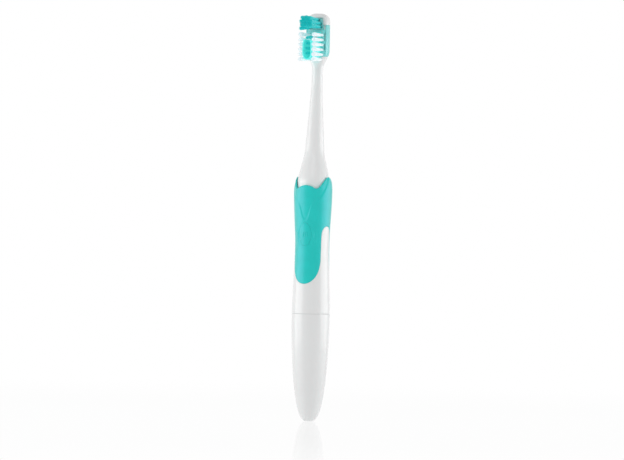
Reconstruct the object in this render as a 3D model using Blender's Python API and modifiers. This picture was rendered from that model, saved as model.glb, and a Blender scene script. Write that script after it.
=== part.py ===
"""Battery toothbrush with a vibrating head, at rest with its tip at the origin and its axis up +Z.

The front, where the bristles and the button are, faces -Y. Run it with
blender --background --python part.py, or from the text editor.
"""

import math

import bmesh
import bpy
from mathutils import Matrix, Vector

MM = 0.001

# Fits and drawing accuracy
GAP = 0.3 * MM  # between pieces that touch, and round pieces that move
OVERRUN = 2.0 * MM  # how far a cutter passes through what it cuts
EMBED = 0.3 * MM  # how deep a joined shape starts inside the other
MERGE = 0.005 * MM
WELD = 0.002 * MM  # joins the corners that a cut leaves almost on each other
SHELL_SEGMENTS = 32
LARGE_SEGMENTS = 24
SMALL_SEGMENTS = 12
QUARTER_TURN = math.radians(90)
SHARP_ANGLE = math.radians(35)  # edges above it are shaded sharp

# Battery, an AAA cell, and its contacts
BATTERY_RADIUS = 5.25 * MM
BATTERY_LENGTH = 44.5 * MM
BATTERY_FILM = 0.25 * MM
BATTERY_RIM = 0.5 * MM
NUB_RADIUS = 1.9 * MM
NUB_HEIGHT = 0.9 * MM
CONTACT_THICKNESS = 0.4 * MM
CONTACT_WIDTH = 2.4 * MM
CONTACT_DISC_RADIUS = 3.4 * MM
CONTACT_DISC_THICKNESS = 0.6 * MM
SPRING_WIRE_RADIUS = 0.3 * MM
SPRING_FOOT_RADIUS = 3.1 * MM
SPRING_TOP_RADIUS = 2.0 * MM
SPRING_HEIGHT = 5.3 * MM
SPRING_TURNS = 4
SPRING_POINTS = 10

# Battery cap, the lower third of the handle
TIP_FLAT_RADIUS = 2.4 * MM
SEAM_RADIUS = 10.5 * MM
CAP_FLOOR = 5.6 * MM
CAP_WALL = 1.5 * MM
CAP_ROWS = 13
CAP_BORE_ROWS = 6
LINER_WALL = 1.1 * MM
SEAT_HEIGHT = 4.2 * MM  # how far the cap's lower bore grips the cell
NOSE_POWER = 1 / 3  # of the cap's bullet-shaped outline

# Collar that joins the cap to the casing
SPIGOT_LENGTH = 7.5 * MM
SPIGOT_RADIUS = 8.3 * MM
COLLAR_RADIUS = 8.8 * MM
COLLAR_RISE = 7.0 * MM
COLLAR_WALL = 1.5 * MM
WEB_THICKNESS = 2.0 * MM
WEB_DROP = 0.6 * MM  # the web's lower face below the seam
SEAL_DROP = 2.2 * MM
SEAL_RADIUS = 0.35 * MM
LUG_HEIGHT = 1.6 * MM
LUG_DROP = 5.0 * MM
LUG_REACH = 1.05 * MM
LUG_HALF_ANGLE = math.radians(9)
LUG_ANGLES = (math.radians(27), math.radians(207))
THREAD_LEAD = 24.0 * MM  # travel of the cap in a full turn
THREAD_STEP = math.radians(9)

# Casing and the shape of the handle
CASING_WALL = 1.4 * MM
CASING_BORE_RADIUS = 7.0 * MM
WAIST_RADIUS = 9.5 * MM
SHOULDER_RADIUS = 10.6 * MM
WAIST_SHARE = 0.544  # of the casing's length, up from the seam
CASING_ROWS = 12

# Soft grip: lobes at the front and back, open windows at the sides
GRIP_THICKNESS = 1.1 * MM
GRIP_FLOOR_RISE = 16.6 * MM  # lowest point of the front lobe above the seam
LOBE_HEIGHT = 14.5 * MM
WINDOW_TOP_DROP = 19.6 * MM  # window's highest point under the casing's top
ARCH_HEIGHT = 5.0 * MM
LIP_RISE = 8.3 * MM
LIP_RADIUS = 9.4 * MM
LIP_DIP = 6.4 * MM  # how far the valleys lie under the lip's peaks
LIP_BUMP = 1.8 * MM  # how far the crests between two valleys rise
LIP_FLAT_SHARE = 0.5  # of the half width, from the middle to where the sides start to rise
LIP_SIDE_POWER = 1.2
LIP_CREST_POWER = 8
FRONT_PAD_HALF_ANGLE = math.radians(57)
BACK_PAD_HALF_ANGLE = math.radians(84)
SIDE_LEAN = math.radians(1.5)
LOBE_STEPS = 6
ARCH_STEPS = 6
GRIP_ROWS = 8
LIP_ROWS = 3

# Button and its switch
BUTTON_HALF_WIDTH = 3.5 * MM
BUTTON_HALF_HEIGHT = 6.4 * MM
BUTTON_PROUD = 0.2 * MM
BUTTON_DROP = 3.1 * MM  # its centre under the board's top edge
FLANGE_THICKNESS = 0.6 * MM
FLANGE_MARGIN = 1.1 * MM
FLANGE_ROUND_SHARE = 0.6  # how far the flange narrows at its sides, 1 for an ellipse
BUTTON_STEPS = 9
SWITCH_SIDE = 6.0 * MM
SWITCH_HEIGHT = 2.0 * MM
STEM_RADIUS = 1.5 * MM
STEM_HOLE_DEPTH = 1.2 * MM
BUTTON_TRAVEL = 0.5 * MM

# Circuit board and what it carries
BOARD_RISE = 11.0 * MM  # its lower edge above the seam
BOARD_LENGTH = 36.0 * MM
BOARD_HALF_WIDTH = 6.1 * MM
BOARD_THICKNESS = 1.0 * MM
BOARD_FRONT = 2.0 * MM  # its front face, in front of the axis
BOARD_LAP = 4.0 * MM  # how far the contacts lie along it
CHIP_SIZE = (5.0 * MM, 1.5 * MM, 5.0 * MM)
CHIP_SHARE = 0.66  # of the free board, from the contacts up to the switch
CAPACITOR_RADIUS = 1.8 * MM
CAPACITOR_HEIGHT = 3.0 * MM
CAPACITOR_SHARE = 0.24
CAPACITOR_SIDE = 2.0 * MM
CHASSIS_WALL = 1.5 * MM
CHASSIS_LENGTH = 30.0 * MM
LEAD_RADIUS = 0.5 * MM
LEAD_SPREAD = 2.4 * MM
LEAD_DROP = 10.0 * MM
LEAD_REACH = 3.2 * MM
LEAD_POINTS = 12

# Motor, shaft and the off-centre weight that shakes the head
MOTOR_RADIUS = 6.0 * MM
MOTOR_LENGTH = 10.3 * MM
MOTOR_WALL = 0.4 * MM
BELL_THICKNESS = 1.2 * MM
SHAFT_RADIUS = 0.75 * MM
SHAFT_RISE = 11.5 * MM  # above the motor
BUSH_RADIUS = 2.4 * MM
BUSH_LENGTH = 2.2 * MM
BUSH_SINK = 1.3 * MM
ARMATURE_RADIUS = 4.0 * MM
ARMATURE_LENGTH = 5.5 * MM
COMMUTATOR_RADIUS = 2.0 * MM
COMMUTATOR_LENGTH = 1.6 * MM
MAGNET_THICKNESS = 0.9 * MM
MAGNET_HALF_ANGLE = math.radians(60)
MAGNET_STEPS = 9
TERMINAL_SIZE = (1.6 * MM, 0.4 * MM, 2.2 * MM)
WEIGHT_RADIUS = 3.8 * MM
WEIGHT_LENGTH = 6.0 * MM
WEIGHT_CUT = 1.6 * MM
SLEEVE_LENGTH = 8.5 * MM

# Drive post that carries the neck
POST_FLANGE_RADIUS = 7.9 * MM
POST_FLANGE_THICKNESS = 2.7 * MM
POST_ROOM = 1.8 * MM  # between the motor and the flange
POST_RADIUS = 6.6 * MM
POST_TOP_RADIUS = 5.2 * MM
POST_HEIGHT = 14.0 * MM
POST_BORE_RADIUS = 4.4 * MM
POST_ROOF = 3.0 * MM
POST_CHAMFER = 1.0 * MM
NECK_SEAL_RISE = 3.6 * MM
NECK_SEAL_HALF_HEIGHT = 0.45 * MM
NECK_SEAL_DEPTH = 0.8 * MM

# Neck, from its skirt up to the head
NECK_LENGTH = 71.7 * MM
NECK_SKIRT_RADIUS = 8.7 * MM
NECK_FOOT_RADIUS = 6.6 * MM
THROAT_RADIUS = 3.05 * MM
SKIRT_RISE = 4.7 * MM  # straight part of the skirt
SKIRT_BLEND = 18.0 * MM
THROAT_DROP = 13.0 * MM  # where the neck is thinnest, under the head
HEAD_FLARE = 5.5 * MM
NECK_TAPER_POWER = 1.1
NECK_LEAN = 2.4 * MM  # how far the neck carries the head backwards
NECK_ROWS = 13

# Head
HEAD_LENGTH = 26.0 * MM
HEAD_HALF_WIDTH = 6.3 * MM
HEAD_HALF_THICKNESS = 2.5 * MM
HEAD_EDGE = 1.5 * MM
HEAD_CROWN = 4.5 * MM
CROWN_THIN_SHARE = 1 / 3  # how much the crown thins for each millimetre that it narrows
FLARE_ROWS = 4
CROWN_ROWS = 5
CORNER_POINTS = 6
MOULD_WALL = 0.8 * MM
MOULD_LOW = 0.3 * MM
MOULD_LENGTH = 18.7 * MM

# Bristles
SLICE_THICKNESS = 0.9 * MM
SLICE_LENGTH = 16.2 * MM
SLICE_FRAME = 2.1 * MM
STRAND_RADIUS = 0.12 * MM
STRAND_TIP_SHARE = 0.75
OUTER_TUFTS = 6
OUTER_TUFT_STRANDS = 15
OUTER_TUFT_SIDE = 4.1 * MM
OUTER_TUFT_RADIUS = 0.8 * MM
OUTER_TUFT_SPREAD = 0.2 * MM
OUTER_BRISTLE_LENGTH = 13.0 * MM
INNER_TUFTS = 4
INNER_TUFT_STRANDS = 9
INNER_TUFT_RADIUS = 0.8 * MM
INNER_TUFT_SPREAD = 0.12 * MM
INNER_BRISTLE_LENGTH = 12.7 * MM
INNER_FRAME = 1.5 * MM
CUP_WALL = 0.7 * MM
CUP_HEIGHT = 12.0 * MM
CUP_END_SIDE = 1.75 * MM
CUP_BULGE = 0.6 * MM
CUP_STEPS = 8
CUP_MARGIN = 0.8 * MM
TIP_SLICE_THICKNESS = 1.2 * MM
TIP_SLICE_HALF_WIDTH = 4.0 * MM
TIP_SLICE_LENGTH = 6.4 * MM
TIP_BRISTLE_LENGTH = 14.5 * MM
TIP_COLUMNS = 10
TIP_ROWS = 9
TIP_MARGIN = 0.35 * MM
TIP_STRAND_RADIUS = 0.2 * MM
GOLDEN_ANGLE = math.pi * (3 - math.sqrt(5))

# Places along the axis, worked out from the pieces in the order that they stack
PLATE_TOP = CAP_FLOOR + GAP + CONTACT_DISC_THICKNESS
SPRING_LOW = PLATE_TOP + GAP + SPRING_WIRE_RADIUS
BATTERY_LOW = SPRING_LOW + SPRING_HEIGHT + SPRING_WIRE_RADIUS + GAP
BATTERY_TOP = BATTERY_LOW + BATTERY_LENGTH
WEB_LOW = BATTERY_TOP + GAP + CONTACT_THICKNESS + GAP
SEAM = WEB_LOW + WEB_DROP
BOARD_LOW = SEAM + BOARD_RISE
BOARD_TOP = BOARD_LOW + BOARD_LENGTH
BUTTON_HEIGHT = BOARD_TOP - BUTTON_DROP
BELL_LOW = BUTTON_HEIGHT + BUTTON_HALF_HEIGHT + FLANGE_MARGIN + GAP
MOTOR_LOW = BELL_LOW + BELL_THICKNESS + GAP
MOTOR_TOP = MOTOR_LOW + MOTOR_LENGTH
FLANGE_LOW = MOTOR_TOP + POST_ROOM
CASING_TOP = FLANGE_LOW + POST_FLANGE_THICKNESS
WAIST = SEAM + WAIST_SHARE * (CASING_TOP - SEAM)
LIP_TOP = CASING_TOP + LIP_RISE
POST_TOP = CASING_TOP + POST_HEIGHT
NECK_LOW = CASING_TOP + GAP
HEAD_LOW = NECK_LOW + NECK_LENGTH
HEAD_TOP = HEAD_LOW + HEAD_LENGTH

# Radii and faces that follow from the fits
CELL_BORE = BATTERY_RADIUS + GAP
CAP_BORE = SEAM_RADIUS - CAP_WALL
STRIP_RADIUS = CELL_BORE + CONTACT_THICKNESS / 2
RISER_RADIUS = STRIP_RADIUS + GAP
POSITIVE_REACH = BOARD_FRONT + GAP + CONTACT_THICKNESS / 2
LINER_RADIUS = CELL_BORE + LINER_WALL
LINER_LOW = BATTERY_LOW + SEAT_HEIGHT + GAP
SPIGOT_LOW = SEAM - SPIGOT_LENGTH
RING_LOW = SPIGOT_LOW - GAP - CONTACT_THICKNESS
BOARD_BACK = BOARD_THICKNESS - BOARD_FRONT  # its back face, as a place along Y
FLANGE_RADIUS = CASING_BORE_RADIUS - GAP
BUTTON_BACK = EMBED - math.sqrt(FLANGE_RADIUS**2 - BUTTON_HALF_WIDTH**2)
MOULD_FOOT = HEAD_LOW + MOULD_LOW
MOULD_TOP = MOULD_FOOT + MOULD_LENGTH
HEAD_FRONT = NECK_LEAN - HEAD_HALF_THICKNESS
CORE_INSET = MOULD_WALL + GAP
SLICE_HALF_WIDTH = HEAD_HALF_WIDTH - CORE_INSET
SLICE_FOOT = MOULD_FOOT + GAP
SLICE_TOP = SLICE_FOOT + SLICE_LENGTH
TIP_SLICE_LOW = SLICE_TOP + GAP

WHITE = (0.86, 0.87, 0.87)
TEAL = (0.02, 0.53, 0.50)
CLEAR_TEAL = (0.33, 0.72, 0.71)
STEEL = (0.55, 0.55, 0.56)
NICKEL = (0.66, 0.64, 0.60)
COPPER = (0.60, 0.27, 0.14)
BRASS = (0.65, 0.48, 0.18)
RUBBER = (0.05, 0.05, 0.05)
MOTOR_RUBBER = (0.06, 0.06, 0.06)
FILM = (0.08, 0.09, 0.10)
BOARD_GREEN = (0.03, 0.25, 0.10)
CHIP_BLACK = (0.03, 0.03, 0.03)
CAPACITOR_BLUE = (0.05, 0.07, 0.20)
SWITCH_BLACK = (0.04, 0.04, 0.04)
STEM_BLACK = (0.12, 0.12, 0.12)
CHASSIS_GREY = (0.55, 0.57, 0.58)
BELL_CREAM = (0.75, 0.73, 0.65)
BRONZE = (0.55, 0.38, 0.15)
FERRITE = (0.10, 0.10, 0.11)
LEAD_COLOURS = {"red": (0.55, 0.03, 0.03), "black": (0.03, 0.03, 0.03)}


def clear_scene():
    """Removes the startup objects."""
    for obj in list(bpy.data.objects):
        bpy.data.objects.remove(obj, do_unlink=True)


def new_collection(name):
    """A collection in the scene, by name."""
    found = bpy.data.collections.new(name)
    bpy.context.scene.collection.children.link(found)
    return found


def finish(name, colour, roughness, metallic=0.0):
    """A Principled material with one colour, roughness and metallic value."""
    made = bpy.data.materials.new(name)
    made.use_nodes = True
    shader = made.node_tree.nodes["Principled BSDF"]
    shader.inputs["Base Color"].default_value = (*colour, 1.0)
    shader.inputs["Roughness"].default_value = roughness
    shader.inputs["Metallic"].default_value = metallic
    made.diffuse_color = (*colour, 1.0)
    return made


def store(name, mesh, colour=None, roughness=0.5, metallic=0.0):
    """Makes a part from a mesh or, without a colour, a hidden cutter."""
    obj = bpy.data.objects.new(name, mesh)
    if colour is None:
        CUTTERS.objects.link(obj)
        obj.hide_render = True
        obj.display_type = "WIRE"
        return obj
    PARTS.objects.link(obj)
    mesh.materials.append(finish(name + "_finish", colour, roughness, metallic))
    return obj


def mesh_from(name, bm, smooth=True):
    """A mesh from a bmesh, which it frees, with its normals facing out."""
    bmesh.ops.recalc_face_normals(bm, faces=bm.faces)
    mesh = bpy.data.meshes.new(name)
    bm.to_mesh(mesh)
    bm.free()
    if smooth:
        mesh.shade_smooth()
        mesh.set_sharp_from_angle(angle=SHARP_ANGLE)
    return mesh


def turned(name, profile, closed=False, segments=LARGE_SEGMENTS, **look):
    """A turned shape from (radius, height) points that run down its outer side."""
    mesh = bpy.data.meshes.new(name)
    count = len(profile)
    edges = [(at, (at + 1) % count) for at in range(count if closed else count - 1)]
    mesh.from_pydata([(radius, 0, height) for radius, height in profile], edges, [])
    obj = store(name, mesh, **look)
    screw = obj.modifiers.new("turn", "SCREW")
    screw.steps = screw.render_steps = segments
    screw.use_merge_vertices = True
    screw.merge_threshold = MERGE
    screw.use_smooth_shade = True
    return obj


def ring(name, inner, outer, low, top, segments=LARGE_SEGMENTS, **look):
    """A tube with square ends."""
    profile = [(outer, top), (outer, low), (inner, low), (inner, top)]
    return turned(name, profile, closed=True, segments=segments, **look)


def rod(name, radius, low, top, segments=SMALL_SEGMENTS, **look):
    """A round bar on the axis."""
    profile = [(0, top), (radius, top), (radius, low), (0, low)]
    return turned(name, profile, segments=segments, **look)


def box(name, low, high, **look):
    """A block between two corners, placed by its location."""
    low, high = Vector(low), Vector(high)
    bm = bmesh.new()
    bmesh.ops.create_cube(bm, size=1)
    bmesh.ops.scale(bm, vec=high - low, verts=bm.verts)
    obj = store(name, mesh_from(name, bm, smooth=False), **look)
    obj.location = (low + high) / 2
    return obj


def peg(name, radii, low, high, centre, segments=SMALL_SEGMENTS, **look):
    """A round or oval bar along Y from low to high, about a centre (x, z)."""
    bm = bmesh.new()
    bmesh.ops.create_cone(
        bm, cap_ends=True, segments=segments, radius1=1, radius2=1, depth=high - low,
        matrix=Matrix.Rotation(QUARTER_TURN, 4, "X"),
    )
    bmesh.ops.scale(bm, vec=(radii[0], 1, radii[1]), verts=bm.verts)
    obj = store(name, mesh_from(name, bm), **look)
    obj.location = (centre[0], (low + high) / 2, centre[1])
    return obj


def plate(name, outline, low, high, **look):
    """A flat outline of (x, z) points, given a thickness along Y."""
    bm = bmesh.new()
    face = bm.faces.new([bm.verts.new((x, low, z)) for x, z in outline])
    grown = bmesh.ops.extrude_face_region(bm, geom=[face])["geom"]
    moved = [item for item in grown if isinstance(item, bmesh.types.BMVert)]
    bmesh.ops.translate(bm, vec=(0, high - low, 0), verts=moved)
    return store(name, mesh_from(name, bm, smooth=False), **look)


def strip(name, path, width, thickness, **look):
    """A bent metal strip: a path of (y, z) points, widened along X and thickened."""
    bm = bmesh.new()
    verts = [bm.verts.new((-width / 2, y, z)) for y, z in path]
    edges = [bm.edges.new(pair) for pair in zip(verts, verts[1:])]
    grown = bmesh.ops.extrude_edge_only(bm, edges=edges)["geom"]
    moved = [item for item in grown if isinstance(item, bmesh.types.BMVert)]
    bmesh.ops.translate(bm, vec=(width, 0, 0), verts=moved)
    obj = store(name, mesh_from(name, bm, smooth=False), **look)
    wall = obj.modifiers.new("wall", "SOLIDIFY")
    wall.thickness = thickness
    wall.offset = 0
    wall.use_even_offset = True
    return obj


def loft(name, rings, **look):
    """A closed skin over rings of equally many points, with flat ends."""
    bm = bmesh.new()
    made = [[bm.verts.new(point) for point in points] for points in rings]
    for lower, upper in zip(made, made[1:]):
        for at in range(len(lower)):
            after = (at + 1) % len(lower)
            bm.faces.new((lower[at], lower[after], upper[after], upper[at]))
    bm.faces.new(made[0])
    bm.faces.new(made[-1])
    return store(name, mesh_from(name, bm), **look)


def polar(radius, angle, height):
    """A point by its angle about the axis, measured from the front towards +X."""
    return (radius * math.sin(angle), -radius * math.cos(angle), height)


def hoop(name, section_at, stations, **look):
    """A closed skin over the sections that stand round the axis at the stations."""
    bm = bmesh.new()
    made = [[bm.verts.new(point) for point in section_at(station)] for station in stations]
    for here, there in zip(made, made[1:] + made[:1]):
        for at in range(len(here)):
            after = (at + 1) % len(here)
            bm.faces.new((here[at], here[after], there[after], there[at]))
    return store(name, mesh_from(name, bm), **look)


def combine(target, other, operation):
    """Cuts, joins or intersects a part with another shape."""
    step = target.modifiers.new(operation.lower(), "BOOLEAN")
    step.operation = operation
    step.object = other
    return target


def cut(target, *cutters):
    """Cuts each cutter out of a part."""
    for cutter in cutters:
        combine(target, cutter, "DIFFERENCE")
    return target


def weld_cuts(pieces):
    """Welds the corners that cuts and joins leave almost on each other."""
    for piece in pieces:
        if any(step.type == "BOOLEAN" for step in piece.modifiers):
            piece.modifiers.new("weld", "WELD").merge_threshold = WELD


def body(name, place):
    """An empty on a joint's axis, which carries the pieces that move together."""
    empty = bpy.data.objects.new(name, None)
    PARTS.objects.link(empty)
    empty.location = place
    return empty


def carry(empty, *pieces):
    """Parents pieces to a body and leaves them where they are."""
    for piece in pieces:
        piece.parent = empty
        piece.matrix_parent_inverse = Matrix.Translation(-empty.location)


def ease(share):
    """A smooth rise from 0 to 1."""
    return (1 - math.cos(math.pi * share)) / 2


def spread(low, high, count):
    """Evenly spaced values, both ends included."""
    return [low + (high - low) * at / (count - 1) for at in range(count)]


def cap_radius(height):
    """Outer radius of the cap: a bullet shape with a small flat at its tip."""
    start = 1 - math.sqrt(1 - (TIP_FLAT_RADIUS / SEAM_RADIUS) ** (1 / NOSE_POWER))
    share = start + (1 - start) * height / SEAM
    return SEAM_RADIUS * (1 - (1 - share) ** 2) ** NOSE_POWER


def casing_radius(height):
    """Outer radius of casing and grip: in to the waist, out to the shoulder, in to the lip."""
    if height > CASING_TOP:
        share = (height - CASING_TOP) / LIP_RISE
        return SHOULDER_RADIUS - (SHOULDER_RADIUS - LIP_RADIUS) * share**2
    if height > WAIST:
        share = (height - WAIST) / (CASING_TOP - WAIST)
        return WAIST_RADIUS + (SHOULDER_RADIUS - WAIST_RADIUS) * ease(share)
    share = (height - SEAM) / (WAIST - SEAM)
    return SEAM_RADIUS + (WAIST_RADIUS - SEAM_RADIUS) * ease(share)


def helical_bar(name, inner, outer, height, start, end, **look):
    """A bar that winds about the axis from one (angle, height) to another."""
    steps = max(2, math.ceil(abs(end[0] - start[0]) / THREAD_STEP) + 1)
    rings = []
    for angle, middle in zip(spread(start[0], end[0], steps), spread(start[1], end[1], steps)):
        low, top = middle - height / 2, middle + height / 2
        corners = ((inner, low), (outer, low), (outer, top), (inner, top))
        rings.append([polar(radius, angle, place) for radius, place in corners])
    return loft(name, rings, **look)


def thread_rise(angle):
    """How far the cap's helix climbs in an angle."""
    return THREAD_LEAD * angle / (2 * math.pi)


def make_cap():
    """The screw-off cap with its helical grooves and the slot for the contact strip."""
    outer = [
        (cap_radius(SEAM * share**2), SEAM * share**2) for share in spread(1, 0, CAP_ROWS)
    ]
    shoulder = LINER_LOW - GAP
    inner = [
        (0, CAP_FLOOR),
        (CONTACT_DISC_RADIUS + GAP, CAP_FLOOR),
        (CONTACT_DISC_RADIUS + GAP, PLATE_TOP),
        (CELL_BORE, BATTERY_LOW - CELL_BORE + CONTACT_DISC_RADIUS),
        (CELL_BORE, shoulder),
        (cap_radius(shoulder) - CAP_WALL, shoulder),
    ]
    inner += [
        (min(cap_radius(height) - CAP_WALL, CAP_BORE - GAP / 2), height)
        for height in spread(shoulder, SPIGOT_LOW - LUG_DROP, CAP_BORE_ROWS)[1:]
    ]
    inner += [(CAP_BORE, SPIGOT_LOW), (CAP_BORE, SEAM)]
    cap = turned(
        "battery_cap", inner + outer + [(0, 0)], segments=SHELL_SEGMENTS,
        colour=WHITE, roughness=0.22,
    )
    slot = strip(
        "strip_slot", strip_path(GAP), CONTACT_WIDTH + 2 * GAP, CONTACT_THICKNESS + 2 * GAP
    )
    cut(cap, slot)
    middle = SEAM - LUG_DROP
    for at, angle in enumerate(LUG_ANGLES):
        past = LUG_HALF_ANGLE + GAP / SPIGOT_RADIUS
        climb = SEAM + OVERRUN - middle
        groove = helical_bar(
            f"lug_groove_{at}",
            SPIGOT_RADIUS,
            SPIGOT_RADIUS + LUG_REACH + GAP,
            LUG_HEIGHT + 2 * GAP,
            (angle + past, middle - thread_rise(past)),
            (angle - 2 * math.pi * climb / THREAD_LEAD, middle + climb),
        )
        cut(cap, groove)
    return cap


def strip_path(past=0.0):
    """The route of the negative strip, up the inside of the cap, as (y, z) points."""
    level = CAP_FLOOR + GAP + CONTACT_DISC_THICKNESS / 2
    bend = BATTERY_LOW - CELL_BORE + CONTACT_DISC_RADIUS
    return [
        (CONTACT_DISC_RADIUS - CONTACT_WIDTH, level),
        (CONTACT_DISC_RADIUS, level),
        (STRIP_RADIUS, bend),
        (STRIP_RADIUS, RING_LOW - GAP + past),
    ]


def make_cap_contents():
    """The liner that centres the cell, the negative contact and the spring."""
    top = RING_LOW - 2 * GAP
    liner = ring(
        "cap_liner", CELL_BORE, LINER_RADIUS, LINER_LOW, top, colour=WHITE, roughness=0.5
    )
    path = [(STRIP_RADIUS, LINER_LOW - OVERRUN), (STRIP_RADIUS, top + OVERRUN)]
    groove = strip(
        "liner_groove", path, CONTACT_WIDTH + 2 * GAP, CONTACT_THICKNESS + 2 * GAP
    )
    cut(liner, groove)
    contact = strip(
        "negative_contact", strip_path(), CONTACT_WIDTH, CONTACT_THICKNESS,
        colour=NICKEL, roughness=0.3, metallic=1.0,
    )
    disc = rod("negative_disc", CONTACT_DISC_RADIUS, CAP_FLOOR + GAP, PLATE_TOP)
    combine(contact, disc, "UNION")
    return liner, contact, make_spring()


def spring_points():
    """Points along the conical battery spring."""
    total = SPRING_TURNS * SPRING_POINTS
    points = []
    for at in range(total + 1):
        share = at / total
        radius = SPRING_FOOT_RADIUS + (SPRING_TOP_RADIUS - SPRING_FOOT_RADIUS) * share
        points.append(
            polar(radius, 2 * math.pi * SPRING_TURNS * share, SPRING_LOW + SPRING_HEIGHT * share)
        )
    return points


def make_tube(name, points, radius, resolution, **look):
    """A wire or lead along points, as one closed mesh."""
    curve = bpy.data.curves.new(name + "_line", "CURVE")
    curve.dimensions = "3D"
    curve.bevel_depth = radius
    curve.bevel_resolution = resolution
    curve.use_fill_caps = True
    line = curve.splines.new("POLY")
    line.points.add(len(points) - 1)
    for point, place in zip(line.points, points):
        point.co = (*place, 1)
    guide = bpy.data.objects.new(name + "_line", curve)
    CUTTERS.objects.link(guide)
    graph = bpy.context.evaluated_depsgraph_get()
    mesh = bpy.data.meshes.new_from_object(guide.evaluated_get(graph))
    mesh.name = name
    bm = bmesh.new()
    bm.from_mesh(mesh)
    bmesh.ops.remove_doubles(bm, verts=bm.verts, dist=MERGE)
    bmesh.ops.recalc_face_normals(bm, faces=bm.faces)
    bm.to_mesh(mesh)
    bm.free()
    bpy.data.objects.remove(guide, do_unlink=True)
    mesh.materials.clear()
    mesh.shade_smooth()
    return store(name, mesh, **look)


def make_spring():
    """The battery spring as one unbroken tube, with its least gap to itself printed."""
    points = [Vector(point) for point in spring_points()]
    apart = min(
        (points[a] - points[b]).length
        for a in range(len(points))
        for b in range(a + SPRING_POINTS // 2, len(points))
    )
    print(f"battery_spring: least gap to itself {(apart - 2 * SPRING_WIRE_RADIUS) / MM:.2f} mm")
    return make_tube(
        "battery_spring", points, SPRING_WIRE_RADIUS, 1,
        colour=STEEL, roughness=0.25, metallic=1.0,
    )


def make_battery():
    """The AAA cell: can, plastic film and positive nub."""
    can_top = BATTERY_TOP - NUB_HEIGHT - GAP
    can_radius = BATTERY_RADIUS - BATTERY_FILM - GAP
    can = rod(
        "battery_can", can_radius, BATTERY_LOW, can_top, LARGE_SEGMENTS,
        colour=STEEL, roughness=0.3, metallic=1.0,
    )
    film = ring(
        "battery_film", can_radius + GAP, BATTERY_RADIUS,
        BATTERY_LOW + BATTERY_RIM, can_top - BATTERY_RIM, colour=FILM, roughness=0.35,
    )
    nub = rod(
        "battery_nub", NUB_RADIUS, can_top + GAP, BATTERY_TOP,
        colour=STEEL, roughness=0.3, metallic=1.0,
    )
    return can, film, nub


def make_collar():
    """The collar in the casing's mouth: spigot, lugs, seal groove and web."""
    seal_middle = SEAM - SEAL_DROP
    groove = SPIGOT_RADIUS - SEAL_RADIUS - GAP
    half = SEAL_RADIUS + GAP
    cup = COLLAR_RADIUS - COLLAR_WALL
    top = SEAM + COLLAR_RISE
    profile = [
        (COLLAR_RADIUS, top),
        (COLLAR_RADIUS, SEAM + GAP),
        (SPIGOT_RADIUS, SEAM + GAP),
        (SPIGOT_RADIUS, seal_middle + half),
        (groove, seal_middle + half),
        (groove, seal_middle - half),
        (SPIGOT_RADIUS, seal_middle - half),
        (SPIGOT_RADIUS, SPIGOT_LOW),
        (CELL_BORE, SPIGOT_LOW),
        (CELL_BORE, WEB_LOW),
        (0, WEB_LOW),
    ]
    inside = [(0, WEB_LOW + WEB_THICKNESS), (cup, WEB_LOW + WEB_THICKNESS), (cup, top)]
    collar = turned("battery_collar", inside + profile, colour=WHITE, roughness=0.5)
    middle = SEAM - LUG_DROP
    for at, angle in enumerate(LUG_ANGLES):
        rise = thread_rise(LUG_HALF_ANGLE)
        lug = helical_bar(
            f"lug_{at}",
            SPIGOT_RADIUS - EMBED,
            SPIGOT_RADIUS + LUG_REACH,
            LUG_HEIGHT,
            (angle + LUG_HALF_ANGLE, middle - rise),
            (angle - LUG_HALF_ANGLE, middle + rise),
        )
        combine(collar, lug, "UNION")
    wide, thick = CONTACT_WIDTH / 2 + GAP, CONTACT_THICKNESS / 2 + GAP
    web_top = WEB_LOW + WEB_THICKNESS
    collar_slot = box(
        "collar_slot",
        (-wide, CELL_BORE - GAP, SPIGOT_LOW - OVERRUN),
        (wide, RISER_RADIUS + thick, web_top + OVERRUN),
    )
    web_slot = box(
        "web_slot",
        (-wide, -POSITIVE_REACH - thick, WEB_LOW - OVERRUN),
        (wide, thick - POSITIVE_REACH, web_top + OVERRUN),
    )
    cut(collar, collar_slot, web_slot)
    seal = ring(
        "cap_seal", groove + GAP, SPIGOT_RADIUS + GAP,
        seal_middle - SEAL_RADIUS, seal_middle + SEAL_RADIUS, colour=RUBBER, roughness=0.6,
    )
    return collar, seal


def positive_path():
    """The route of the positive contact, from the cell's nub up to the board's front."""
    level = BATTERY_TOP + GAP + CONTACT_THICKNESS / 2
    return [
        (NUB_RADIUS, level),
        (-POSITIVE_REACH, level),
        (-POSITIVE_REACH, BOARD_LOW + BOARD_LAP),
    ]


def riser_path():
    """The route of the collar's contact, from its ring up to the board's back."""
    back = BOARD_BACK + GAP + CONTACT_THICKNESS / 2
    return [
        (RISER_RADIUS, RING_LOW + CONTACT_THICKNESS / 2),
        (RISER_RADIUS, WEB_LOW + WEB_THICKNESS + GAP),
        (back, BOARD_LOW - GAP),
        (back, BOARD_LOW + BOARD_LAP),
    ]


def make_contacts():
    """The positive contact over the cell and the ring contact under the collar."""
    metal = {"colour": NICKEL, "roughness": 0.3, "metallic": 1.0}
    positive = strip("positive_contact", positive_path(), CONTACT_WIDTH, CONTACT_THICKNESS, **metal)
    collar_contact = strip(
        "collar_contact", riser_path(), CONTACT_WIDTH, CONTACT_THICKNESS, **metal
    )
    washer = ring(
        "contact_washer", CELL_BORE + GAP, SPIGOT_RADIUS - GAP,
        RING_LOW, RING_LOW + CONTACT_THICKNESS,
    )
    combine(collar_contact, washer, "UNION")
    return positive, collar_contact


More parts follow.
